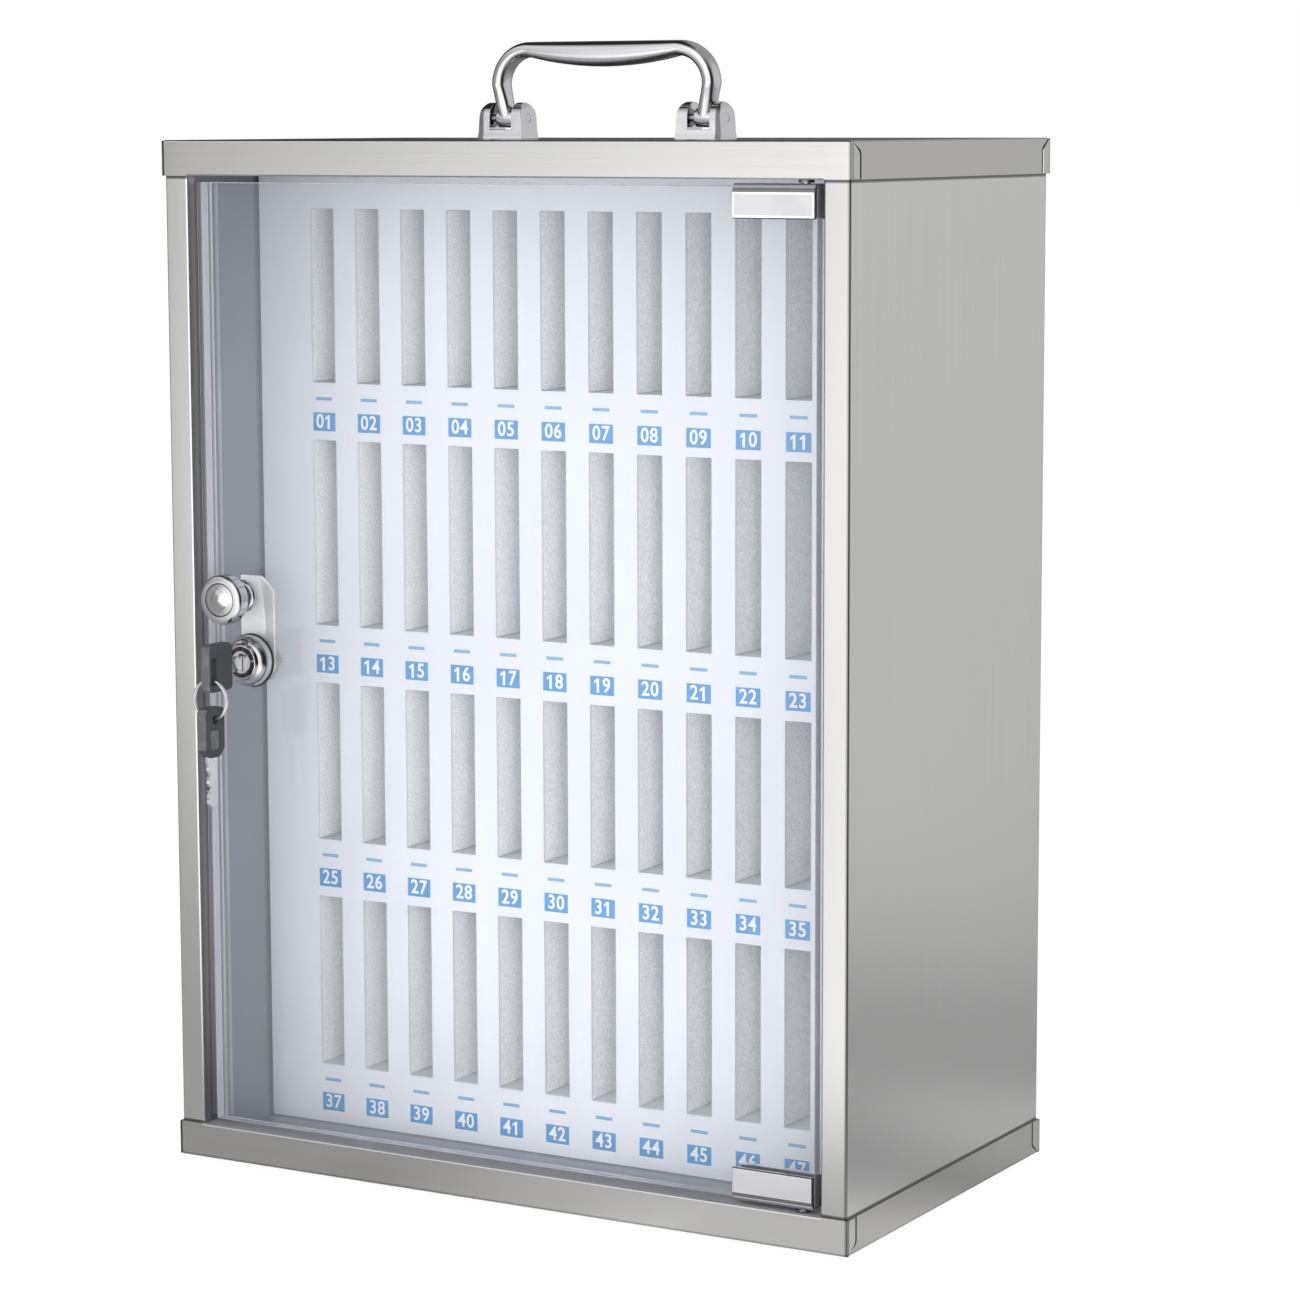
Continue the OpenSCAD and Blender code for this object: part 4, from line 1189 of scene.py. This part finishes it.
class LOCKER_OT_handle(Operator):
    """Sweeps the handle through its legs, bends and full grip, and finishes its brackets."""

    bl_idname = "locker.handle"
    bl_label = "Handle"

    sides = 32
    leg_steps = 8
    bend_steps = 18
    grip_steps = 20
    end_r = 3.68
    bend_r = 17.0
    leg_r = 4.0
    belly = 2.4
    foot_half = 4.6
    bar_half = 5.8
    bend_swell = 0.2
    grip_swell = 0.5
    squareness = 0.75
    eye_r = 4.6
    eye_w = 9.0
    eye_edge = 0.5
    bore_r = 2.05
    pin_proud = 0.4
    rim = 3.2

    def stations(self):
        """Centre, outward angle, half thickness and half width of each section, right leg to left."""
        leg_x = HANDLE_HALF - self.end_r
        rise = HANDLE_TOP - self.end_r - self.bend_r - PIVOT_Z
        lean = math.degrees(math.atan((leg_x - BRACKET_X) / rise))
        grip = leg_x - self.bend_r
        right = []
        for step in range(self.leg_steps):
            t = step / self.leg_steps
            thick = self.leg_r + (self.end_r - self.leg_r) * t
            wide = self.foot_half + (self.bar_half - self.foot_half) * t * t
            x = BRACKET_X + (leg_x - BRACKET_X) * t
            right.append((x, PIVOT_Z + rise * t, -lean * (1 - t) ** 2, thick, wide))
        for x, z in arc(grip, PIVOT_Z + rise, self.bend_r, 0, 90, self.bend_steps)[:-1]:
            angle = math.degrees(math.atan2(z - PIVOT_Z - rise, x - grip))
            right.append((x, z, angle, self.end_r, self.bar_half + self.bend_swell * angle / 90))
        widest = self.bar_half + self.bend_swell
        for step in range(self.grip_steps, 0, -1):
            t = step / self.grip_steps
            half = self.end_r + self.belly * (1 - t * t)
            right.append((grip * t, HANDLE_TOP - half, 90, half, widest + self.grip_swell * (1 - t * t)))
        half = self.end_r + self.belly
        middle = [(0.0, HANDLE_TOP - half, 90, half, widest + self.grip_swell)]
        left = [(-x, z, 180 - angle, thick, wide) for x, z, angle, thick, wide in reversed(right)]
        return right + middle + left

    def execute(self, context):
        bm = bmesh.new()
        ring = bmesh.ops.create_circle(bm, cap_ends=False, segments=self.sides, radius=1)["verts"]
        for vert in ring:
            vert.co = [math.copysign(abs(part) ** self.squareness, part) for part in vert.co]
        edges = bm.edges[:]
        first = edges
        before = Matrix.Identity(4)
        for index, (x, z, angle, thick, wide) in enumerate(self.stations()):
            outward = Vector((math.cos(math.radians(angle)), 0, math.sin(math.radians(angle))))
            across = Vector((0, 1, 0))
            place = Matrix((outward * thick, across * wide, outward.cross(across))).transposed().to_4x4()
            place.translation = (x, 0, z)
            if index:
                made = bmesh.ops.extrude_edge_only(bm, edges=edges)["geom"]
                ring = only(BMVert, made)
                edges = between(only(BMEdge, made), ring)
            bmesh.ops.transform(bm, matrix=place @ before.inverted(), verts=ring)
            before = place
        for loop in (first, edges):
            bmesh.ops.contextual_create(bm, geom=loop)
        for side in (-1, 1):
            self.add_eye(bm, side * BRACKET_X)
        bmesh.ops.recalc_face_normals(bm, faces=bm.faces)
        place_piece("carry_bail", bm, "handle", ["bright_chrome"], ["handle_bail"], sharp=50)
        for node in ("handle_bracket_left", "handle_bracket_right"):
            self.bracket(node)
        self.pins()
        refined("handle_screws", "cabinet", "zinc_plate")
        return {"FINISHED"}

    def add_eye(self, bm, x):
        """The eye at the foot of a leg: a short tube on the pin."""
        half = self.eye_w / 2
        flat = half - self.eye_edge
        shoulder = self.eye_r - self.eye_edge
        section = [(-half, self.bore_r), (half, self.bore_r), (half, shoulder), (flat, self.eye_r),
                   (-flat, self.eye_r), (-half, shoulder)]
        verts = [bm.verts.new((x + along, 0, PIVOT_Z + radius)) for along, radius in section]
        edges = [bm.edges.new(pair) for pair in zip(verts, verts[1:] + verts[:1])]
        bmesh.ops.spin(bm, geom=verts + edges, cent=(x, 0, PIVOT_Z), axis=(1, 0, 0), dvec=(0, 0, 0),
                       angle=math.tau, steps=48, use_merge=True, use_duplicate=False)

    def bracket(self, node):
        """A bracket with small bevels and a dark rim round its outer end, a painted dark reflection."""
        bm = cad_shape(node)
        soften(bm, 0.5, 3)
        low, high = corners(node)
        edge = max(abs(low.x), abs(high.x)) - self.rim
        cut(bm, (math.copysign(edge, low.x), 0, 0), (1, 0, 0))
        for face in bm.faces:
            if abs(face.calc_center_median().x) > edge and abs(face.normal.x) < 0.6:
                face.material_index = 1
        place_piece(node + "_fine", bm, "cabinet", ["bright_chrome", "dark_reflection_chrome"], [node])

    def pins(self):
        """The pins, a little longer than the CAD's so that their ends show."""
        bm = cad_shape("handle_pins")
        for vert in bm.verts:
            outward = 1 if abs(vert.co.x) > BRACKET_X else -1
            vert.co.x += math.copysign(self.pin_proud, vert.co.x) * outward
        soften(bm, 0.2)
        place_piece("handle_pins_fine", bm, "cabinet", ["bright_chrome"], ["handle_pins"])


def towards(azimuth, elevation):
    """The direction at an azimuth from the front and an elevation, in degrees."""
    a, e = math.radians(azimuth), math.radians(elevation)
    return Vector((math.sin(a) * math.cos(e), -math.cos(a) * math.cos(e), math.sin(e)))


def light_tent(name, radius, lobes, ambient):
    """A tent that only reflections see: even grey with soft bright and dark patches by direction."""
    bm = bmesh.new()
    bmesh.ops.create_uvsphere(bm, u_segments=48, v_segments=24, radius=radius)
    cut(bm, (0, 0, -TENT_MIDDLE), (0, 0, -1), True)
    bmesh.ops.contextual_create(bm, geom=[edge for edge in bm.edges if edge.is_boundary])
    bmesh.ops.translate(bm, vec=(0, 0, TENT_MIDDLE + TENT_FOOT), verts=bm.verts)
    tent = add_object(name, mesh_of(bm, name))
    finish = Finish(name + "_cloth")
    ray = finish.vectors("NORMALIZE", finish.vectors("SUBTRACT", finish.place(), (0, 0, TENT_MIDDLE)))
    patches = []
    for azimuth, elevation, inner, outer, amount in lobes:
        near = finish.vectors("DOT_PRODUCT", ray, towards(azimuth, elevation), output="Value")
        fade, full = (math.cos(math.radians(angle)) for angle in (outer, inner))
        patches.append(finish.ease(near, fade, full, 0.0, amount))
    level = finish.maths("MAXIMUM", sum(patches[1:], patches[0]) + ambient, 0.03)
    glow = finish.node("ShaderNodeEmission", inputs={"Color": (1, 1, 1, 1), "Strength": level})
    finish.show(glow, "Material Output")
    tent.data.materials.append(finish.material)
    for ray_kind in ("camera", "diffuse", "transmission", "volume_scatter", "shadow"):
        setattr(tent, "visible_" + ray_kind, False)


def area_lamp(name, place, aim, size, power, spread):
    """A square lamp that lights the object but isn't seen in its metal."""
    data = bpy.data.lights.new(name, "AREA")
    data.shape = "SQUARE"
    data.size = size
    data.energy = power
    data.spread = math.radians(spread)
    lamp = add_object(name, data)
    lamp.location = place
    lamp.rotation_euler = (Vector(aim) - Vector(place)).to_track_quat("-Z", "Y").to_euler()
    lamp.visible_glossy = False


class LOCKER_OT_stage(Operator):
    """Sets the white floor and world, the soft lamps, the light tent and the camera."""

    bl_idname = "locker.stage"
    bl_label = "Stage"

    camera_place = (0.9629, -1.6397, 0.5100)
    camera_azimuth = 29.80
    camera_drop = 7.72
    camera_roll = -0.159
    sensor_width = 36.0
    floor_half = 20
    floor_level = -0.001
    floor_glow = 1.08
    floor_white = 0.8
    tent_radius = 4.5
    ambient = 0.42
    # Azimuth and elevation of a patch, where it starts to fade and ends, and its strength
    lobes = (
        (8.0, 5.0, 15.0, 54.0, 1.45),
        (-37.0, 3.2, 1.0, 6.0, -0.30),
        (-24.5, 3.8, 1.0, 6.0, -0.30),
        (-33.0, -5.0, 2.0, 8.0, 0.30),
        (-24.0, -4.0, 1.0, 6.0, 0.30),
        (-17.0, -12.0, 3.0, 14.0, -0.12),
        (-8.0, -61.0, 5.0, 22.0, -0.20),
        (24.0, -45.0, 4.0, 16.0, -0.12),
        (50.0, -50.0, 4.0, 14.0, -0.10),
        (98.0, -44.0, 4.0, 16.0, -0.08),
        (-50.0, 38.0, 8.0, 26.0, 0.60),
        (138.0, 10.0, 10.0, 38.0, 0.36),
        (140.0, -20.0, 5.0, 16.0, 0.05),
        (122.0, -45.0, 4.0, 16.0, 0.17),
        (35.0, -50.0, 10.0, 50.0, 0.42),
        (58.0, 8.0, 24.0, 56.0, -0.40),
        (-122.0, 40.0, 14.0, 34.0, -0.38),
        (-112.0, 8.0, 14.0, 36.0, -0.38),
        (-150.0, -4.0, 12.0, 34.0, -0.36),
        (-75.0, 68.0, 12.0, 40.0, -0.40),
    )
    # Place and aim of a lamp, its size, its share of the key light's power, and its spread
    lamps = {
        "front_soft_lamp": ((0.9, -1.7, 0.65), (0, 0, 0.25), 1.4, 1, 180),
        "left_soft_lamp": ((-1.4, -1.4, 0.2), (-0.1, 0, 0.1), 0.8, 0.4, 180),
        "low_fill_lamp": ((0.2, -1.4, 0.35), (-0.04, 0, 0.0), 0.25, 0.0065, 12),
        "far_fill_lamp": ((0.9, -1.3, 0.25), (-0.20, 0, 0.24), 0.3, 0.006, 16),
        "right_soft_lamp": ((1.7, -1.3, 0.25), (-0.1, 0, 0.2), 0.8, 0.3, 180),
    }

    def execute(self, context):
        studio = context.scene.locker_studio
        self.white_world(studio.sky)
        self.white_floor()
        light_tent("reflection_tent", self.tent_radius, self.lobes, self.ambient)
        for name, (place, aim, size, share, spread) in self.lamps.items():
            area_lamp(name, place, aim, size, studio.key_power * share, spread)
        self.camera(studio.lens)
        context.scene.view_settings.view_transform = "Standard"
        return {"FINISHED"}

    def white_world(self, sky):
        """White to the camera, in metal and through clear sheet; an even sky for everything else."""
        world = bpy.data.worlds.new("white_world")
        bpy.context.scene.world = world
        world.use_nodes = True
        world.node_tree.nodes.clear()
        nodes = Nodes(world.node_tree)
        seen = nodes.node("ShaderNodeBackground", inputs={"Color": (1, 1, 1, 1)})
        lit = nodes.node("ShaderNodeBackground", inputs={"Color": (0.97, 0.98, 1, 1), "Strength": sky})
        camera, metal, clear = nodes.rays()
        white = nodes.maths("MAXIMUM", nodes.maths("MAXIMUM", camera, metal), clear)
        mix = nodes.node("ShaderNodeMixShader", inputs={0: white, 1: lit, 2: seen})
        nodes.node("ShaderNodeOutputWorld", inputs={"Surface": mix})

    def white_floor(self):
        """A white sweep that keeps a soft share of the object's shadow."""
        bm = bmesh.new()
        bmesh.ops.create_grid(bm, x_segments=1, y_segments=1, size=self.floor_half)
        bmesh.ops.translate(bm, vec=(0, 0, self.floor_level), verts=bm.verts)
        floor = add_object("studio_floor", mesh_of(bm, "studio_floor"))
        finish = Finish("floor_white", (0.94, 0.94, 0.94), roughness=0.9)
        glow = finish.node("ShaderNodeEmission", inputs={"Color": (1, 1, 1, 1), "Strength": self.floor_glow})
        lit = Value(finish, finish.shader.outputs[0])
        camera, metal, clear = finish.rays()
        white = (camera + metal + clear) * self.floor_white
        mix = finish.node("ShaderNodeMixShader", inputs={0: white, 1: lit, 2: glow})
        finish.show(mix, "Material Output")
        floor.data.materials.append(finish.material)

    def camera(self, lens):
        """A long lens from the front right, a little above the middle."""
        data = bpy.data.cameras.new("camera")
        data.lens = lens
        data.sensor_width = self.sensor_width
        camera = add_object("camera", data)
        ahead = -towards(self.camera_azimuth, self.camera_drop)
        roll = Matrix.Rotation(math.radians(self.camera_roll), 3, "Z")
        camera.rotation_euler = (ahead.to_track_quat("-Z", "Y").to_matrix() @ roll).to_euler()
        camera.location = self.camera_place
        bpy.context.scene.camera = camera


class LOCKER_PT_pieces(Panel):
    """Lists the locker's settings and builders."""

    bl_label = "Phone locker"
    bl_idname = "LOCKER_PT_pieces"
    bl_space_type = "VIEW_3D"
    bl_region_type = "UI"
    bl_category = "Locker"

    def draw(self, context):
        for group in SETTINGS:
            box = self.layout.box()
            settings = getattr(context.scene, group)
            for name in settings.bl_rna.properties.keys():
                if name not in ("rna_type", "name"):
                    box.prop(settings, name)
        for operator in BUILDERS:
            self.layout.operator(operator.bl_idname)


SETTINGS = {
    "locker_steel": SteelSettings,
    "locker_rack": RackSettings,
    "locker_metal": MetalSettings,
    "locker_studio": StudioSettings,
}
BUILDERS = (
    LOCKER_OT_finishes, LOCKER_OT_stage, LOCKER_OT_caps, LOCKER_OT_panels, LOCKER_OT_rack, LOCKER_OT_labels,
    LOCKER_OT_foam, LOCKER_OT_pane, LOCKER_OT_pivots, LOCKER_OT_knob, LOCKER_OT_lock, LOCKER_OT_keys,
    LOCKER_OT_ring, LOCKER_OT_handle,
)


def register():
    """Registers the settings, builders and panel."""
    for kind in (*SETTINGS.values(), *BUILDERS, LOCKER_PT_pieces):
        bpy.utils.register_class(kind)
    for name, kind in SETTINGS.items():
        setattr(bpy.types.Scene, name, PointerProperty(type=kind))


def unregister():
    """Removes them again."""
    for name in SETTINGS:
        delattr(bpy.types.Scene, name)
    for kind in reversed((*SETTINGS.values(), *BUILDERS, LOCKER_PT_pieces)):
        bpy.utils.unregister_class(kind)


def main():
    """Builds the whole locker."""
    register()
    for builder in BUILDERS:
        group, name = builder.bl_idname.split(".")
        getattr(getattr(bpy.ops, group), name)()


if __name__ == "__main__":
    main()
